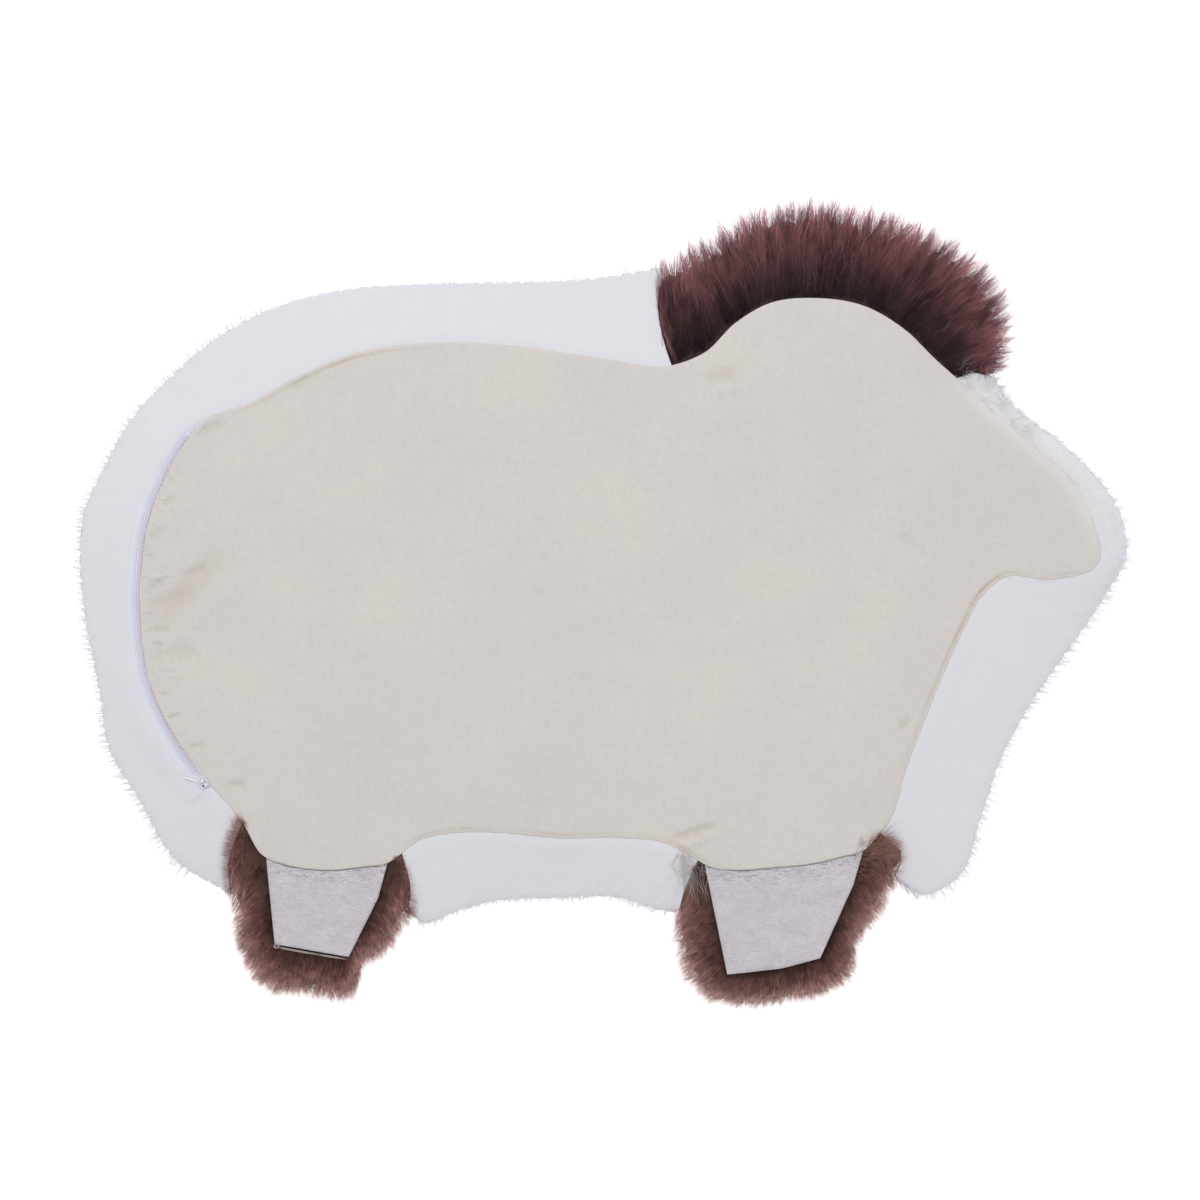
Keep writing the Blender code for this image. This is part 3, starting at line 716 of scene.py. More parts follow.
def strand_mesh(name, groups, profiles, flat=1.0):
    """One mesh of several groups of strands; flat strands keep their facets."""
    corners, faces, spots = [], [], []
    for group in groups:
        start = sum(map(len, corners))
        points, corners_of, map_of = strand_arrays(*group, profiles, flat)
        corners.append(points)
        faces.append(corners_of + start)
        spots.append(map_of)
    corners, faces, spots = (np.concatenate(parts) for parts in (corners, faces, spots))
    corners[:, 2] = np.maximum(corners[:, 2], 0.05 * MM)
    mesh = bpy.data.meshes.new(name)
    mesh.vertices.add(len(corners))
    mesh.vertices.foreach_set("co", corners.astype(np.float32).ravel())
    mesh.loops.add(faces.size)
    mesh.loops.foreach_set("vertex_index", faces.astype(np.int32).ravel())
    mesh.polygons.add(len(faces))
    mesh.polygons.foreach_set("loop_start", np.arange(0, faces.size, 3, dtype=np.int32))
    mesh.update(calc_edges=True)
    mesh.validate()
    layer = mesh.uv_layers.new(name="OFBake", do_init=False)
    layer.uv.foreach_set("vector", spots[faces.ravel()].astype(np.float32).ravel())
    if flat == 1:
        mesh.shade_smooth()
    return mesh


def combed(name, dice, count, each, length, width, sections=None, start=(-0.06, 0.85),
           at_root=0.25, spread=5.0, gather=0.6, lean=(0.0, 0.0), sway=0.08, stray=0.05,
           wave=0.0, lift=(0.3, 1.6), over=(-3, 3), ragged=1.5, drop=(2, 12), points=3,
           by_place=0.7, shade=(0.5, 0.1, 0.15), root=-1.6, silky=False, uneven=(-0.3, 0.5)):
    """Paths, widths and tones of hairs in tufts, combed from the hide to the rim."""
    comb = combs[name]
    total = count * each
    first, last = comb.tip.distances(sections or (0, len(comb.tip.points) - 1))
    order = dice.permutation(count)
    spot = first + (last - first) * (order + dice.uniform(0, 1, count)) / count
    share = (np.arange(count) * 0.618034 + dice.uniform(0, 0.1, count)) % 1
    share = np.clip((share - at_root) / (1 - at_root), 0, 1)
    turn = np.interp(spot, (first, last), lean) + dice.normal(0, sway, count)

    def tuft(values):
        return np.repeat(values, each)

    section = tuft(comb.tip.sections(spot))
    reach, way = comb.reach(section)
    across = turned(way)
    hidden = bare(name, section) / reach
    begin = tuft(start[0] + (start[1] - start[0]) * share) + dice.uniform(-0.03, 0.03, total)
    begin = hidden + np.where(begin > 0, begin * (1 - hidden), begin)
    grown = tuft(dice.uniform(*length, count)) * dice.uniform(0.85, 1.1, total) * MM
    beyond = tuft(dice.uniform(*over, count)) + dice.normal(0, ragged, total)
    end = np.minimum(begin + grown / reach, 1 + beyond * MM / reach)
    end = np.maximum(end, begin + 5 * MM / reach)
    turn = tuft(turn) + dice.normal(0, stray, total)
    aside = dice.normal(0, 1, total) * spread * MM / 2
    phase = tuft(dice.uniform(0, 2 * math.pi, count)) + dice.normal(0, 0.5, total)
    height = (tuft(dice.uniform(*lift, count)) + dice.uniform(*uneven, total)) * MM
    low = dice.uniform(*drop, total) * MM
    tone = tuft(shade[0] + dice.normal(0, shade[1], count)) + dice.normal(0, shade[2], total)

    paths = np.empty((total, points, 3))
    parts = np.linspace(0, 1, points)
    alongs = begin[:, None] + (end - begin)[:, None] * parts
    for index, part in enumerate(parts):
        sideways = aside * (1 - gather * part) + turn * grown * part**1.5
        sideways += wave * MM * np.sin(phase + 6 * part) * min(1, 2 * part)
        place = comb.at(section, alongs[:, index]) + across * sideways[:, None]
        ground = white_ground.at(place) if silky else wool_relief.at(place)
        level = ground + root * MM + (height - root * MM) * min(1, 2.2 * part)
        past = np.clip((alongs[:, index] - 0.93) / 0.1, 0, 1)
        paths[:, index, :2] = place
        level = level * (1 - past) + np.minimum(low, level) * past
        paths[:, index, 2] = np.maximum(level, 0.6 * MM)
    paths[:, -1, 2] = np.minimum(paths[:, -1, 2], paths[:, -2, 2] + 2 * MM)
    tones = tones_of(tone, 0.04 + 0.9 * (by_place * alongs + (1 - by_place) * parts))
    return paths, dice.uniform(*width, total) * MM, tones


FRINGE_PITCH = 1.7 * MM
FRINGE_HAIRS = 12


def fringe(name, dice, sections, over, begin=(0.7, 0.9), sway=0.08, ragged=2.0):
    """Fine hairs that meet in small points out of the white wool's rim, high and low."""
    comb = combs[name]
    first, last = comb.tip.distances(sections)
    count = int((last - first) / FRINGE_PITCH)
    total = count * FRINGE_HAIRS

    def lock(values):
        return np.repeat(values, FRINGE_HAIRS)

    spots = first + (np.arange(count) + dice.uniform(0, 1, count)) * FRINGE_PITCH
    section = comb.tip.sections(lock(spots))
    reach, way = comb.reach(section)
    start = dice.uniform(*begin, total)
    beyond = lock(dice.uniform(*over, count)) - np.abs(dice.normal(0, ragged, total))
    end = np.maximum(1 + beyond * MM / reach, start + 4 * MM / reach)
    aside = dice.uniform(-1, 1, total) * FRINGE_PITCH
    turn = lock(dice.normal(0, sway, count)) + dice.normal(0, 0.03, total)
    high = white_ground.at(comb.at(section, start))
    root = high * (1 - 0.8 * dice.uniform(0, 1, total) ** 1.5) - 0.3 * MM
    tip = np.maximum(root * dice.uniform(0.3, 0.75, total), 0.8 * MM)
    shades = lock(dice.normal(0.6, 0.1, count)) + dice.normal(0, 0.1, total)
    paths = np.empty((total, 3, 3))
    parts = np.array((0, 0.5, 1))
    for index, part in enumerate(parts):
        place = comb.at(section, start + (end - start) * part)
        sideways = aside * (1 - 0.9 * part) + turn * (end - start) * reach * part
        paths[:, index, :2] = place + turned(way) * sideways[:, None]
        paths[:, index, 2] = root + (tip - root) * part**1.4
    widths = dice.uniform(0.13, 0.24, total) * MM
    return paths, widths, tones_of(shades, 0.5 + 0.45 * parts)


def loose(dice, ends, width, curl, rise, points=5, tone=(0.05, 0.95)):
    """Hairs lying loose over their neighbours, each from its own place to another."""
    start, end = ends
    count = len(start)
    way = end - start
    bow = dice.normal(0, curl, count)[:, None] * turned(way)
    paths = np.empty((count, points, 3))
    parts = np.linspace(0, 1, points)
    for index, part in enumerate(parts):
        bend = math.sin(part * math.pi) + 0.4 * math.sin(part * 2.6 * math.pi)
        place = start + way * part + bow * bend
        paths[:, index, :2] = place
        lifted = whole_ground.at(place, 12 * MM) + rise * MM * min(1, 0.15 + 3 * part)
        paths[:, index, 2] = lifted + dice.uniform(0, 1, count) * MM
    tones = tones_of(dice.normal(0.5, 0.2, count), tone[0] + (tone[1] - tone[0]) * parts)
    return paths, dice.uniform(*width, count) * MM, tones


def scattered(dice, rows):
    """Ends of hairs round some spots: rows of where they start and end in
    millimetres, how many, and how far they spread."""
    ends = []
    for start, end, count, spread in rows:
        ends.append([(place + dice.normal(0, off, (count, 2))) * MM
                     for place, off in ((start, spread * 0.5), (end, spread))])
    return [np.concatenate(places) for places in zip(*ends)]


def beside(dice, boundaries):
    """Ends of hairs spread evenly along boundaries of the wool: how many, how far
    they spread, and rows of where they start and end in millimetres."""
    ends = []
    for count, spread, rows in boundaries:
        sections = dice.uniform(0, len(rows) - 1, count)
        lines = (Line([row[:2] for row in rows]), Line([row[2:] for row in rows]))
        ends.append([line.at(sections) + dice.normal(0, spread, (count, 2)) * MM
                     for line in lines])
    return [np.concatenate(places) for places in zip(*ends)]


# ---------------------------------------------------------------- wool

white_hair = hair_finish("white_wool_hair", 0.95, 0.7, (0, 228, 228, 233),
                         (0.5, 234, 234, 239), (1, 246, 246, 249))
brow_hair = hair_finish("brow_wool_hair", 0.95, 0.7, (0, 232, 228, 224),
                        (0.5, 238, 236, 236), (1, 248, 248, 250))
crest_hair = hair_finish("crest_wool_hair", 0.2, 0.5, (0, 50, 35, 38), (0.36, 94, 64, 66),
                         (0.6, 168, 112, 116), (0.84, 220, 156, 164), (1, 200, 148, 157))
foot_hair = hair_finish("foot_wool_hair", 0.22, 0.55, (0, 58, 40, 36), (0.2, 118, 82, 75),
                        (0.42, 194, 140, 132), (0.75, 246, 194, 186), (1, 255, 216, 208))
# The white mass's colour turns slightly darker towards the rim: painted shade where the rim falls
# away.
white_mass = mass_finish("white_wool_mass", 0.8, 0.03, 0.3, 0.15, (0, 210, 210, 216),
                         (0.8, 210, 210, 216), (1, 206, 206, 213), cream=(210, 208, 208))
crest_mass = mass_finish("crest_wool_mass", 0.7, 0.3, 1.0, 0.4, (0, 50, 35, 38),
                         (0.5, 100, 68, 70), (1, 120, 84, 86))
foot_mass = mass_finish("foot_wool_mass", 0.75, 0.3, 1.0, 0.4, (0, 72, 49, 43),
                        (0.5, 122, 86, 79), (1, 140, 102, 96))
white_pile = pile_finish("white_wool_pile", 0.75, (214, 212, 212), (240, 240, 244))
crest_pile = pile_finish("crest_wool_pile", 0.7, (60, 42, 44), (124, 86, 88))
foot_pile = pile_finish("foot_wool_pile", 0.7, (80, 56, 52), (142, 104, 98))


class Combing:
    """For any place of some parts of the wool, its way along and out."""

    def __init__(self, names):
        self.samples = []
        offset = 0.0
        for name in names:
            comb = combs[name]
            spots = np.arange(0, comb.tip.length, 2 * MM)
            sections = comb.tip.sections(spots)
            reach, way = comb.reach(sections)
            for share in np.linspace(-0.3, 1.15, 30):
                places = comb.at(sections, np.full(len(spots), share))
                for row in zip(places, way, reach, spots + offset):
                    self.samples.append((*row, share))
            offset += comb.tip.length
        self.tree = kdtree.KDTree(len(self.samples))
        for index, row in enumerate(self.samples):
            self.tree.insert((*row[0], 0), index)
        self.tree.balance()

    def at(self, spot):
        """Direction and reach of the wool, how far along the rim and out a place
        is, and how far off the combed wool it is."""
        _, index, away = self.tree.find((spot.x, spot.y, 0))
        place, way, reach, along, share = self.samples[index]
        share += ((spot.x - place[0]) * way[0] + (spot.y - place[1]) * way[1]) / reach
        return way, reach, along, share, away


def white_tops(places, shares, heights):
    """Top of the white wool at all places of it: close under what is sewn over it."""
    off, step = nearest_edge(places)
    under = inside(places, edge_places[::2])
    taped = ~under & (off < edge_tape[step])
    tops = wool_top(places, shares)
    skins = skin_cover.covers(places) & ~under
    tops[skins] = heights[skins] - 0.3 * MM
    low = canvas_shape(places, np.maximum(off, 1.4 * MM), step)[0]
    low -= (1.0 - 0.75 * edge_soft[step] + 1.6 * np.clip((off / MM - 2) / 5, 0, 1)) * MM
    tops[under] = low[under]
    inner = np.clip((edge_tape[step] - off) / (4 * MM), 0, 1)
    tops[taped] = (tape_relief.at(places) - (0.2 + 0.9 * inner) * MM)[taped]
    creams = edge_soft[step] * np.clip(1 - off * ~under / (16 * MM), 0, 1)
    return tops, under | taped | skins, creams


def wool_mass(node, names, finishes, lump, sunk, tuft_width, longest, draw_in, seed,
              times=2, silky=False):
    """The wool under the hairs: the solid with soft tufts combed outwards, its rim
    drawn in from a share of the wool's reach on, for the hairs to stand out."""
    bm = welded(node, longest, times)
    combing = Combing(names)
    layer = bm.loops.layers.uv.new("combed")
    creamy = bm.verts.layers.float.new("creamy")
    bm.normal_update()
    combings = [combing.at(vert.co) for vert in bm.verts]
    corners = np.array([vert.co[:] for vert in bm.verts])
    places = corners[:, :2]
    tops = reliefs = wool_relief.at(places)
    if silky:
        shares = np.array([row[3] for row in combings])
        tops, covered, creams = white_tops(places, shares, corners[:, 2])
    else:
        covered, creams = cover.covers(places), np.zeros(len(corners))
    outer = reliefs - 7 * MM < corners[:, 2]
    depths = nearest_edge(places)[0]
    spots, moves = {}, {}
    shift = Vector((seed * 7.3, seed * 3.1, 0))
    from_share, room = draw_in
    for index, vert in enumerate(bm.verts):
        way, reach, along, share, away = combings[index]
        spots[vert] = (along, share)
        vert[creamy] = creams[index]
        move = Vector((0, 0, 0))
        if share > from_share:
            beyond = share - from_share
            back = (beyond - room * (1 - math.exp(-beyond / room))) * reach
            back += 0.5 * MM * noise.noise(Vector((along * 120, seed, vert.co.z * 100)))
            move -= Vector((way[0], way[1], 0)) * back
        if vert.co.z < 0.2 * MM:
            edge = min(1, away / (8 * MM)) if share < 1 else 0
            tufts = noise.noise(vert.co * 60 + shift) + 0.5 * noise.noise(vert.co * 130 + shift)
            move.z += max(0, 1.6 + 2.4 * tufts) * edge * MM
        elif outer[index] and covered[index]:
            inner = min(1, max(0, depths[index] / MM - 3) / 6)
            move.z += tops[index] - vert.co.z if silky else -(0.3 + 1.4 * inner) * MM
        elif outer[index]:
            narrow = 0.4 * tuft_width * MM
            streak = noise.noise(Vector((along / (tuft_width * MM), share * 1.5, seed)))
            streak += 0.5 * noise.noise(Vector((along / narrow, share * 2.5, seed + 9)))
            fade = min(1, max(0, share) * 6)
            move.z += (tops[index] - vert.co.z) * min(1, max(0, 0.97 - share) * 8)
            move += vert.normal * (streak * lump * fade - sunk) * MM
        moves[vert] = move
    for vert, move in moves.items():
        vert.co += move
        vert.co.z = max(vert.co.z, 0)
    for face in bm.faces:
        for loop in face.loops:
            loop[layer].uv = spots[loop.vert]
        if face.normal.z < -0.5:
            face.material_index = 1
    return add_piece(node + "_wool", to_mesh(bm, node + "_wool"), finishes, [node])


white_wool = wool_mass("body_fleece", ("back", "belly", "chest"), [white_mass, white_pile],
                       0.12, 0, 14, 4, (0.85, 0.07), 1, times=3, silky=True)
dark_wool = [wool_mass("crest_fleece", ("crest",), [crest_mass, crest_pile],
                       1.6, 0.9, 11, 6, (0.6, 0.3), 2)]
for seed, foot in ((3, "hind_foot"), (4, "fore_foot")):
    dark_wool.append(wool_mass(foot + "_fleece", (foot,), [foot_mass, foot_pile],
                               1.2, 0.9, 9, 5, (0.5, 0.32), seed))


# ---------------------------------------------------------------- canvas

HEM_DEPTHS = (0.7, 1.4, 2.2, 3.0, 3.8, 4.6, 5.6, 7.5, 10.5)


def crease_places():
    """Places along the creases, close enough together to show them."""
    groups = []
    for *ends, width, _ in CREASES:
        start, end = np.array(ends).reshape(2, 2) * MM
        along = end - start
        length = lengths_of(along)
        shares = np.linspace(-0.05, 1.05, int(length / (2.5 * MM)) + 3)[:, None]
        for off in np.linspace(-1.3, 1.3, 9):
            groups.append(start + along * shares + turned(along / length) * off * width * MM)
    return np.concatenate(groups)


def canvas_sheet():
    """The backing: a fine sheet on its solid's folds, its edge turned under."""
    loop, _ = canvas_edge.even(2.8 * MM)

    def deeper(places, depth):
        return nearest_edge(places)[0] > depth * MM

    groups = [loop]
    for depth in HEM_DEPTHS:
        places, headings = canvas_edge.even((2.8 + 0.25 * depth) * MM)
        ring = places - turned(headings) * depth * MM
        groups.append(ring[deeper(ring, depth * 0.95)])
    low, high = loop.min(axis=0), loop.max(axis=0)
    step = 6.2 * MM
    for index, y in enumerate(np.arange(low[1], high[1], step * 0.866)):
        xs = np.arange(low[0] + (index % 2) * step / 2, high[0], step)
        row = np.stack((xs, np.full(len(xs), y)), axis=1)
        groups.append(row[inside(row, loop) & deeper(row, 12.5)])
    creased = crease_places()
    groups.append(creased[inside(creased, loop) & deeper(creased, 3.2)])
    points = np.concatenate(groups)
    border = [(index, (index + 1) % len(loop)) for index in range(len(loop))]
    flat = geometry.delaunay_2d_cdt([Vector(p) for p in points], border, [], 1, 0.3 * MM)
    places = np.array([tuple(p) for p in flat[0]])
    off, step = nearest_edge(places)
    top, groove, roll, crease = canvas_shape(places, off, step)
    fading = edge_soft[step] * np.exp(-((off / (9 * MM)) ** 2))
    # Painted light and shade for the cotton's colour: painted highlight on the rolled edge,
    # painted shade in the seam groove and the crease troughs.
    painted_shading = 0.5 + 0.45 * groove - 0.3 * np.sqrt(roll) + np.maximum(0, -crease / MM) * 0.03
    bm = bmesh.new()
    painted_edge_shading = bm.verts.layers.float.new("painted_edge_shading")
    soft = bm.verts.layers.float.new("soft")
    verts = [bm.verts.new((x, y, z)) for (x, y), z in zip(places, top)]
    for vert, shading_value, faded in zip(verts, painted_shading, fading):
        vert[painted_edge_shading] = shading_value
        vert[soft] = faded
    for face in flat[2]:
        bm.faces.new([verts[index] for index in face])
    return thickened(bm, SHEET, "backing_canvas")


backing = add_piece("backing_canvas", canvas_sheet(), [canvas_finish()], ["backing"])


# ---------------------------------------------------------------- hairs

def add_hair(name, finish, slot, *groups, flat=1.0):
    add_piece(name, strand_mesh(name, groups, HAIR, flat), [finish])


def add_white(name, finish, *groups):
    """White hairs, flat as ribbons."""
    add_hair(name, finish, "white_wool", *groups, flat=0.25)


white_ground = Ground([white_wool.data, backing.data])
dice = np.random.default_rng(11)
add_white("back_wool", white_hair, fringe("back", dice, (0, 5.3), (-2, 2.5)))
add_white("rump_wool", white_hair, fringe("back", dice, (5.2, 16.3), (1, 8.5)))
add_white(
    "belly_wool", white_hair,
    combed("belly", dice, 160, 5, (20, 36), (0.24, 0.4), sections=(0.4, 6.9), lift=(-0.1, 0.0),
           start=(0.42, 0.9), at_root=0, uneven=(-0.03, 0.05), root=-0.4, sway=0.1, gather=0.7,
           ragged=2.0, over=(-16, -5), silky=True, points=5, shade=(0.5, 0.1, 0.1),
           lean=(0.0, 0.3), spread=7, wave=1.0),
    fringe("belly", dice, (0.5, 6.6), (-2, 3), sway=0.15))
add_white(
    "chest_wool", white_hair, fringe("chest", dice, (0.1, 9.5), (0, 6.5)),
    fringe("chest", dice, (9.4, 15), (1, 10), sway=0.25, begin=(0.55, 0.9), ragged=3))
add_white(
    "brow_wool", brow_hair,
    combed("chest", dice, 420, 2, (5, 12), (0.16, 0.28), sections=(10.2, 15), sway=0.4,
           start=(-0.2, 0.5), over=(-2, 2), wave=0.6, points=4, lift=(-0.02, 0.15), at_root=0,
           by_place=0.3, root=-0.3, stray=0.3, silky=True, uneven=(-0.05, 0.05)),
    combed("chest", dice, 26, 10, (12, 20), (0.16, 0.26), sections=(13.2, 15), sway=0.5,
           start=(0.0, 0.6), over=(-2, 6), wave=2.0, points=5, lift=(0.2, 1.0), at_root=0,
           spread=4, gather=0.6, by_place=0.3, root=-0.2, stray=0.3, silky=True))
add_hair(
    "crest_wool", crest_hair, "dark_wool",
    combed("crest", dice, 360, 16, (36, 66), (0.28, 0.5), lean=(-0.02, 0.02), sway=0.08,
           stray=0.04, gather=0.85, spread=9, over=(-28, -6), ragged=4, lift=(0.5, 4), points=4,
           start=(-0.05, 0.42), drop=(3, 14), shade=(0.55, 0.3, 0.12), sections=(0.25, 7.95)))
add_hair(
    "crest_tips", crest_hair, "dark_wool",
    combed("crest", dice, 330, 14, (40, 76), (0.28, 0.5), lean=(-0.04, 0.03), sway=0.12,
           stray=0.03, spread=7, gather=0.92, start=(0.3, 0.68), at_root=0, over=(-13, 9),
           ragged=5, drop=(3, 20), lift=(0.8, 5), points=4, shade=(0.55, 0.3, 0.14)),
    combed("crest", dice, 900, 1, (22, 50), (0.16, 0.28), sway=0.2, start=(0.4, 0.85),
           at_root=0, over=(-8, 10), drop=(3, 20), shade=(0.65, 0, 0.2), points=4),
    combed("crest", dice, 160, 1, (24, 50), (0.2, 0.3), sway=0.25, start=(0.05, 0.5),
           sections=(0.25, 7.7), at_root=0, over=(-30, -6), lift=(3, 5), shade=(1.0, 0, 0.1),
           by_place=0, points=5, wave=1.5))
for foot in ("hind_foot", "fore_foot"):
    add_hair(
        foot + "_wool", foot_hair, "brown_wool",
        combed(foot, dice, 420, 10, (12, 20), (0.18, 0.3), sway=0.14, stray=0.1, gather=0.6,
               spread=5, over=(-9, -2), ragged=1.4, lift=(0.8, 3), start=(-0.06, 0.66),
               at_root=0.15, shade=(0.5, 0.25, 0.28), by_place=0.85),
        combed(foot, dice, 560, 10, (12, 20), (0.16, 0.28), sway=0.1, stray=0.06, spread=5,
               gather=0.8, start=(0.3, 0.8), at_root=0, over=(-5, 6), ragged=2.6,
               shade=(0.6, 0.25, 0.26), lift=(0.8, 3.5), by_place=0.9),
        combed(foot, dice, 300, 1, (10, 20), (0.14, 0.22), sway=0.15, start=(0.5, 0.85),
               at_root=0, over=(0, 9), shade=(0.6, 0.2, 0.2), by_place=0.9))

# Hairs that lie loose at the fore foot and on the crest's end: from, to, how many, spread.
LOOSE_WHITE = (
    ((72, -214), (80, -246), 22, 5), ((76, -222), (86, -262), 16, 6),
    ((68, -212), (76, -236), 22, 5), ((74, -226), (70, -254), 16, 7),
    ((300, 196), (318, 206), 7, 4), ((306, 192), (330, 200), 7, 5),
    ((310, 190), (322, 178), 6, 5),
)
# The same at the fore foot over the chest, and at the hind foot.
LOOSE_BROWN = (
    ((222, -214), (248, -204), 40, 7), ((218, -220), (248, -222), 40, 7),
    ((226, -206), (252, -190), 24, 5), ((236, -212), (258, -214), 24, 6),
    ((-304, -196), (-312, -178), 22, 4),
)
# Boundaries that a fleece's hairs lie over: how many, how far they spread, and from
# where to where.
BESIDE_FEET = (
    (480, 1.6, ((-301, -186, -310, -177), (-307, -200, -320, -197), (-309, -215, -323, -215),
                (-310, -230, -323, -233), (-310, -246, -321, -252))),
    (110, 1.6, ((-308, -226, -318, -232), (-308, -238, -319, -247))),
    (340, 1.4, ((-177, -216, -166, -214), (-172, -228, -160, -231), (-169, -243, -157, -248),
                (-167, -256, -156, -263), (-168, -263, -160, -270))),
    (380, 2.0, ((232, -200, 247, -193), (239, -208, 257, -205), (240, -220, 259, -221),
                (236, -233, 253, -238))),
)
BESIDE_CREST = (
    (240, 0.9, ((64, 203, 58, 220), (58, 218, 51, 239), (54, 236, 47.5, 258),
                (52, 252, 47, 272), (53, 264, 48, 284))),
)
dice = np.random.default_rng(23)
whole_ground = Ground([piece.data for piece in (white_wool, backing, *dark_wool)])
loose_beige = hair_finish("loose_beige_hair", 0.7, 0.6, (0, 226, 216, 210), (1, 236, 230, 228))
loose_tan = hair_finish("loose_tan_hair", 0.7, 0.6, (0, 170, 124, 112), (1, 222, 176, 160))
add_hair("loose_white_hairs", loose_beige, "white_wool",
         loose(dice, scattered(dice, LOOSE_WHITE), (0.16, 0.26), 0.22, 2.8))
add_hair("loose_brown_hairs", loose_tan, "brown_wool",
         loose(dice, scattered(dice, LOOSE_BROWN), (0.16, 0.26), 0.2, 2.0))
add_hair("foot_side_hairs", foot_hair, "brown_wool",
         loose(dice, beside(dice, BESIDE_FEET), (0.14, 0.24), 0.12, 1.2, 4, (0.25, 0.85)))
add_hair("crest_side_hairs", crest_hair, "dark_wool",
         loose(dice, beside(dice, BESIDE_CREST), (0.14, 0.24), 0.05, 1.0, 4, (0.5, 0.9)))


# ---------------------------------------------------------------- leather

suede = leather_finish()


def skin_piece(node):
    """Leather side of a foot: nap, and wrinkles where the canvas is sewn over it."""
    bm = welded(node, 2.6, 3)
    seam = bm.verts.layers.float.new("seam")
    for vert in bm.verts:
        depth = edge_finder.find((vert.co.x, vert.co.y, 0))[2]
        vert[seam] = math.exp(-depth / (9 * MM))
        rough = noise.noise(vert.co * 90) + 0.5 * noise.noise(vert.co * 230)
        fold = noise.noise(Vector((vert.co.x * 120, vert.co.y * 420, 5))) * vert[seam]
        vert.co.z += (0.25 * rough + 0.5 * fold) * MM
    name = node + "_leather"
    return add_piece(name, to_mesh(bm, name), [suede], [node])


leathers = [skin_piece(node) for node in SKINS]


def stitches(name, line, ends, pitch, length, out, width, rise, finish, slot):
    """A row of stitches along a line and out from it, in millimetres."""
    start, end = line.distances(ends)
    middles = np.arange(start, end, pitch * MM)
    count = len(middles)
    paths = np.empty((count, 4, 3))
    wander = dice.normal(0, 0.08, count)[:, None] * MM
    for index, part in enumerate(np.linspace(-0.5, 0.5, 4)):
        sections = line.sections(middles + part * length * MM)
        places = line.beside(sections, out * MM + wander)
        paths[:, index, :2] = places
        paths[:, index, 2] = sewn_relief.at(places) + (rise + 0.25 * (1 - (2 * part) ** 2)) * MM
    tones = tones_of(dice.uniform(0.1, 0.9, count), np.linspace(0.1, 0.9, 4))
    add_hair(name, finish, slot, (paths, np.full(count, width * MM), tones))


dice = np.random.default_rng(31)
dark_thread = hair_finish("dark_thread", 0.8, 0.6, (0, 88, 72, 70), (1, 104, 86, 82))
for foot, first, last in (("hind", (-276, -219), (-178, -218)), ("fore", (90, -223), (224, -208))):
    line = Line((first, *FOOT_HEMS[foot + "_foot"][1:], last))
    stitches(foot + "_seam_thread", line, (0, len(line.points) - 1), 2.6, 1.9, 0.6, 0.7, 0.5,
             dark_thread, "canvas")

# Edge of the hind foot's lining, which shows below its leather, and its curl.
LINING = ((-277.0, -290.2), (-246, -295.9), (-214.5, -301.3), (-214, -303.0), (-246, -297.8),
          (-276, -292.4))
CURL = (-275.2, -290.6, 37.9)


def lining_strip():
    bm = bmesh.new()
    bm.faces.new([bm.verts.new((x * MM, y * MM, 0)) for x, y in LINING])
    bmesh.ops.subdivide_edges(bm, edges=bm.edges, cuts=5)
    bmesh.ops.triangulate(bm, faces=bm.faces)
    for vert in bm.verts:
        ground = wool_relief.at(np.array(vert.co[:2]))
        vert.co.z = ground + (1.5 + 0.25 * noise.noise(vert.co * 300)) * MM
    return thickened(bm, 0.7 * MM, "hind_foot_lining")


def wire_ring(radius, thickness, place, tilt=0, segments=(28, 10)):
    """Ring of round wire; its sizes and place are in millimetres."""
    bpy.ops.object.select_all(action="DESELECT")
    bpy.ops.mesh.primitive_torus_add(
        major_radius=radius * MM, minor_radius=thickness * MM, major_segments=segments[0],
        minor_segments=segments[1], rotation=(math.radians(tilt), 0, 0))
    ring = bpy.context.object
    bpy.ops.object.transform_apply(location=True, rotation=True, scale=True)
    ring.data.transform(Matrix.Translation(Vector(place) * MM))
    return ring


def lining_curl():
    """The lining's corner, curled to a small uneven ring."""
    ring = wire_ring(1.5, 0.55, (0, 0, 0), segments=(24, 8))
    mesh = ring.data
    for vert in mesh.vertices:
        turn = math.atan2(vert.co.y, vert.co.x)
        vert.co.x *= 1.25 + 0.15 * math.sin(turn * 2)
        vert.co.z += 0.45 * MM * math.sin(turn / 2)
    mesh.transform(Matrix.Translation(Vector(CURL) * MM))
    mesh.shade_smooth()
    bpy.data.objects.remove(ring)
    return mesh


cut_edge = plain_finish("cut_edge", (164, 152, 147), 0.85, 0.35, 900)
add_piece("hind_foot_lining", lining_strip(), [cut_edge])
add_piece("hind_foot_curl", lining_curl(), [cut_edge])


# ---------------------------------------------------------------- zip

TAPE_COLUMNS = (-3, -1, 0, 0.45, 0.9, 1.35, 1.8, 2.25, 2.7, 3.15, 3.6, 4.05, 4.5, 4.95, 5.4)
COIL = (7.7, 14.75)


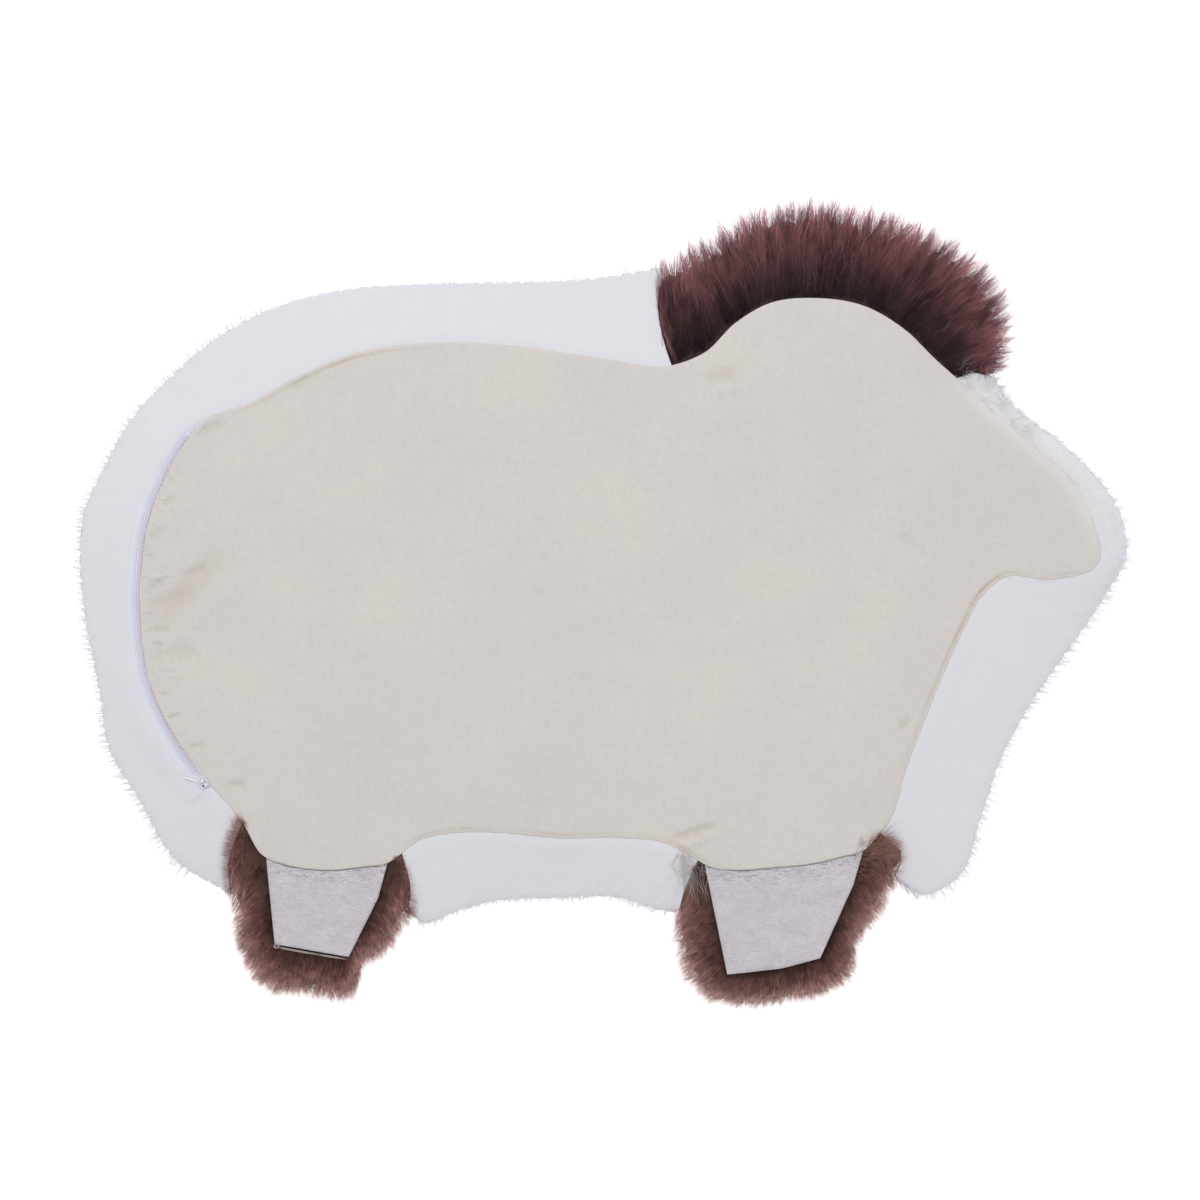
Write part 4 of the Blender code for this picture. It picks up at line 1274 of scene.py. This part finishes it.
def tape_strip():
    """The zip's woven tape beside the canvas, ribbed along its inner edge."""
    first, last = canvas_edge.distances((TAPE_WIDTHS[0][0], TAPE_WIDTHS[-1][0]))
    stops = np.arange(first, last, 2 * MM)
    sections = canvas_edge.sections(stops)
    widths = bare("back", sections) / MM
    edge = canvas_edge.at(sections)
    out = turned(canvas_edge.headings(sections))
    bm = bmesh.new()
    layer = bm.loops.layers.uv.new("woven")
    rows = []
    for stop, place, way, width in zip(stops, edge, out, widths):
        columns = [min(column, width * 0.7 + column * 0.05) for column in TAPE_COLUMNS]
        columns += list(np.linspace(columns[-1], width, 8)[1:])
        row = []
        for number, column in enumerate(columns):
            spot = place + way * column * MM
            rib = 0.14 * (1 if number % 2 else -1) if 2 < number < 13 else 0
            level = tape_relief.at(spot) + rib * MM
            level += 0.9 * MM * max(0, 1 - max(column, 0) / 5) ** 2
            level -= 0.45 * MM * max(0, 1 - (width - column) / 2) ** 2
            row.append((bm.verts.new((*spot, level)), (stop, column * MM)))
        rows.append(row)
    for row, after in zip(rows, rows[1:]):
        for square in zip(row, row[1:], after[1:], after):
            face = bm.faces.new([vert for vert, _ in square])
            for loop, (_, spot) in zip(face.loops, square):
                loop[layer].uv = spot
    return thickened(bm, 0.8 * MM, "zip_tape_woven")


def coil_teeth():
    """Closed teeth across the zip, beside the canvas's edge."""
    stops = np.arange(*canvas_edge.distances(COIL), 1.5 * MM)
    paths = np.empty((len(stops), 5, 3))
    rows = ((-0.3, 0.9), (0.3, 1.3), (0.9, 1.4), (1.5, 1.1), (2.1, 0.4))
    for index, (column, rise) in enumerate(rows):
        sections = canvas_edge.sections(stops + 0.12 * column * MM)
        places = canvas_edge.beside(sections, column * MM)
        paths[:, index, :2] = places
        paths[:, index, 2] = tape_relief.at(places) + rise * MM
    tones = tones_of(np.linspace(0.1, 0.9, len(stops)), np.linspace(0.1, 0.9, 5))
    return strand_mesh("zip_teeth", [(paths, np.full(len(stops), 0.85 * MM), tones)], TOOTH)


tape = add_piece("zip_tape_woven", tape_strip(), [tape_finish()], ["zip_tape"])
nylon_teeth = hair_finish("white_nylon_teeth", 0.94, 0.4, (0, 230, 226, 238), (1, 238, 236, 246))
add_piece("zip_teeth", coil_teeth(), [nylon_teeth], ["zip_coil"])
zip_thread = hair_finish("zip_thread", 0.9, 0.6, (0, 206, 192, 214), (1, 222, 210, 228))
edge_thread = hair_finish("edge_thread", 0.7, 0.6, (0, 120, 110, 118), (1, 140, 128, 136))
stitches("zip_inner_thread", canvas_edge, (7.7, 14.7), 1.9, 1.2, 2.9, 0.4, 0.5, zip_thread,
         "zip_tape")
stitches("zip_outer_thread", canvas_edge, (7.7, 14.7), 1.9, 1.2, 5.1, 0.4, 0.3, zip_thread,
         "zip_tape")
stitches("canvas_edge_thread", canvas_edge, (7.4, 14.8), 4.2, 1.3, 0.3, 0.5, 1.7, edge_thread,
         "canvas")


def laid(node):
    """Placing of a small solid: its length along X, its width along Y."""
    corners = np.array([vert.co[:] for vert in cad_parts[node].data.vertices])
    middle = corners.mean(axis=0)
    along, _, up = np.linalg.svd(corners - middle, full_matrices=False)[2]
    up = up if up[2] > 0 else -up
    along = along if along[0] < 0 else -along
    columns = np.stack((along, np.cross(up, along), up, middle), axis=1)
    return Matrix([*columns.tolist(), (0, 0, 0, 1)])


def rounded_plate(size, place, bevel, taper=1.0):
    """Plate with rounded edges, its far end narrower; sizes in millimetres."""
    bpy.ops.object.select_all(action="DESELECT")
    bpy.ops.mesh.primitive_cube_add(size=1)
    plate = bpy.context.object
    sized = Matrix.Diagonal((*(Vector(size) * MM), 1))
    plate.data.transform(Matrix.Translation(Vector(place) * MM) @ sized)
    for face in plate.data.polygons:
        face.select = face.normal.x > 0.9
    bpy.ops.object.mode_set(mode="EDIT")
    bpy.ops.mesh.select_mode(type="FACE")
    bpy.ops.transform.resize(value=(1, taper, 1))
    bpy.ops.object.mode_set(mode="OBJECT")
    rounding = plate.modifiers.new("rounded", "BEVEL")
    rounding.width = bevel * MM
    rounding.segments = 3
    bpy.ops.object.modifier_apply(modifier="rounded")
    return plate


def assembled(name, node, slot, *parts):
    """Parts joined to one piece, laid where the solid is."""
    bpy.ops.object.select_all(action="DESELECT")
    for part, own in parts:
        part.data.materials.append(own)
        part.select_set(True)
    bpy.context.view_layer.objects.active = parts[0][0]
    bpy.ops.object.join()
    mesh = bpy.context.object.data
    bpy.data.objects.remove(bpy.context.object)
    mesh.transform(laid(node))
    mesh.name = name
    mesh.shade_smooth()
    add_piece(name, mesh, [], [node])


enamel = plain_finish("white_enamel", (222, 221, 228), 0.3, 0.12, 300)
nylon = plain_finish("white_nylon", (232, 231, 238), 0.4, 0.08, 500)
# Dark plates on the slider's crown and inside its ring: painted shadow where its openings are.
painted_hole_shadow = plain_finish("slider_painted_hole_shadow", (62, 58, 62), 0.6, 0.2, 400)
assembled(
    "zip_slider_enamelled", "zip_slider", "zip_metal",
    (rounded_plate((7, 5.6, 0.7), (0, 0, -0.95), 0.25, 0.6), enamel),
    (rounded_plate((6.6, 5.2, 0.6), (0, 0, 0.25), 0.25, 0.6), enamel),
    (rounded_plate((1.4, 1.6, 1.4), (2.3, 0, -0.35), 0.2), enamel),
    (wire_ring(1.5, 0.38, (0.4, 0, 0.35), 90), enamel),
    (wire_ring(1.35, 0.4, (-1.6, 1.6, 0.85)), enamel),
    (rounded_plate((1.7, 1.7, 0.3), (-1.6, 1.6, 0.62), 0.1), painted_hole_shadow),
    (rounded_plate((1.6, 1.0, 0.3), (0.5, 1.1, 0.52), 0.1, 0.8), painted_hole_shadow),
    (rounded_plate((1.6, 1.0, 0.3), (0.5, -1.1, 0.52), 0.1, 0.8), painted_hole_shadow),
)
assembled(
    "zip_pull_moulded", "zip_pull", "zip_plastic",
    (rounded_plate((11.6, 1.9, 0.8), (0.7, 0, 0), 0.3, 0.75), nylon),
    (wire_ring(0.8, 0.3, (-5.5, 0, 0)), nylon),
)


# ---------------------------------------------------------------- floor, light, camera

floor_finish = Finish("pale_floor", 0.9, 0.0)
floor_finish.colour((0.92, 0.92, 0.92, 1))
floor_finish.give(floor_finish.shader["Emission Color"], (1, 1, 1, 1))
floor_finish.give(floor_finish.shader["Emission Strength"], 0.6)
bpy.ops.mesh.primitive_plane_add(size=8, location=(0, 0, 0))
floor = bpy.context.object
floor.name = "floor"
floor.data.materials.append(floor_finish.material)

world = bpy.data.worlds.new("soft_light")
world.use_nodes = True
world.node_tree.nodes["Background"].inputs["Color"].default_value = (1, 1, 1, 1)
world.node_tree.nodes["Background"].inputs["Strength"].default_value = 0.72
bpy.context.scene.world = world


def softbox(name, place, size, power):
    lamp = bpy.data.lights.new(name, "AREA")
    lamp.shape = "SQUARE"
    lamp.size = size
    lamp.energy = power
    holder = bpy.data.objects.new(name, lamp)
    holder.location = place
    holder.rotation_euler = (-Vector(place)).to_track_quat("-Z", "Y").to_euler()
    bpy.context.scene.collection.objects.link(holder)


softbox("key_light", (-0.9, 1.2, 2.2), 1.4, 18.2)
softbox("side_light", (1.5, 0.7, 2.0), 1.6, 8.6)
softbox("top_light", (0.2, -0.2, 2.6), 2.2, 8.6)

LENS = 250
SENSOR = 36
SHARP_PLANE = 20 * MM
PICTURE_WIDTH = 1200 * 0.85 * MM
MIDDLE = (-0.85 * MM, 2.975 * MM)
lens = bpy.data.cameras.new("camera")
lens.lens = LENS
lens.sensor_width = SENSOR
lens.clip_end = 50
camera = bpy.data.objects.new("camera", lens)
camera.location = (*MIDDLE, SHARP_PLANE + PICTURE_WIDTH * LENS / SENSOR)
bpy.context.scene.collection.objects.link(camera)
bpy.context.scene.camera = camera
bpy.context.scene.view_settings.view_transform = "Standard"
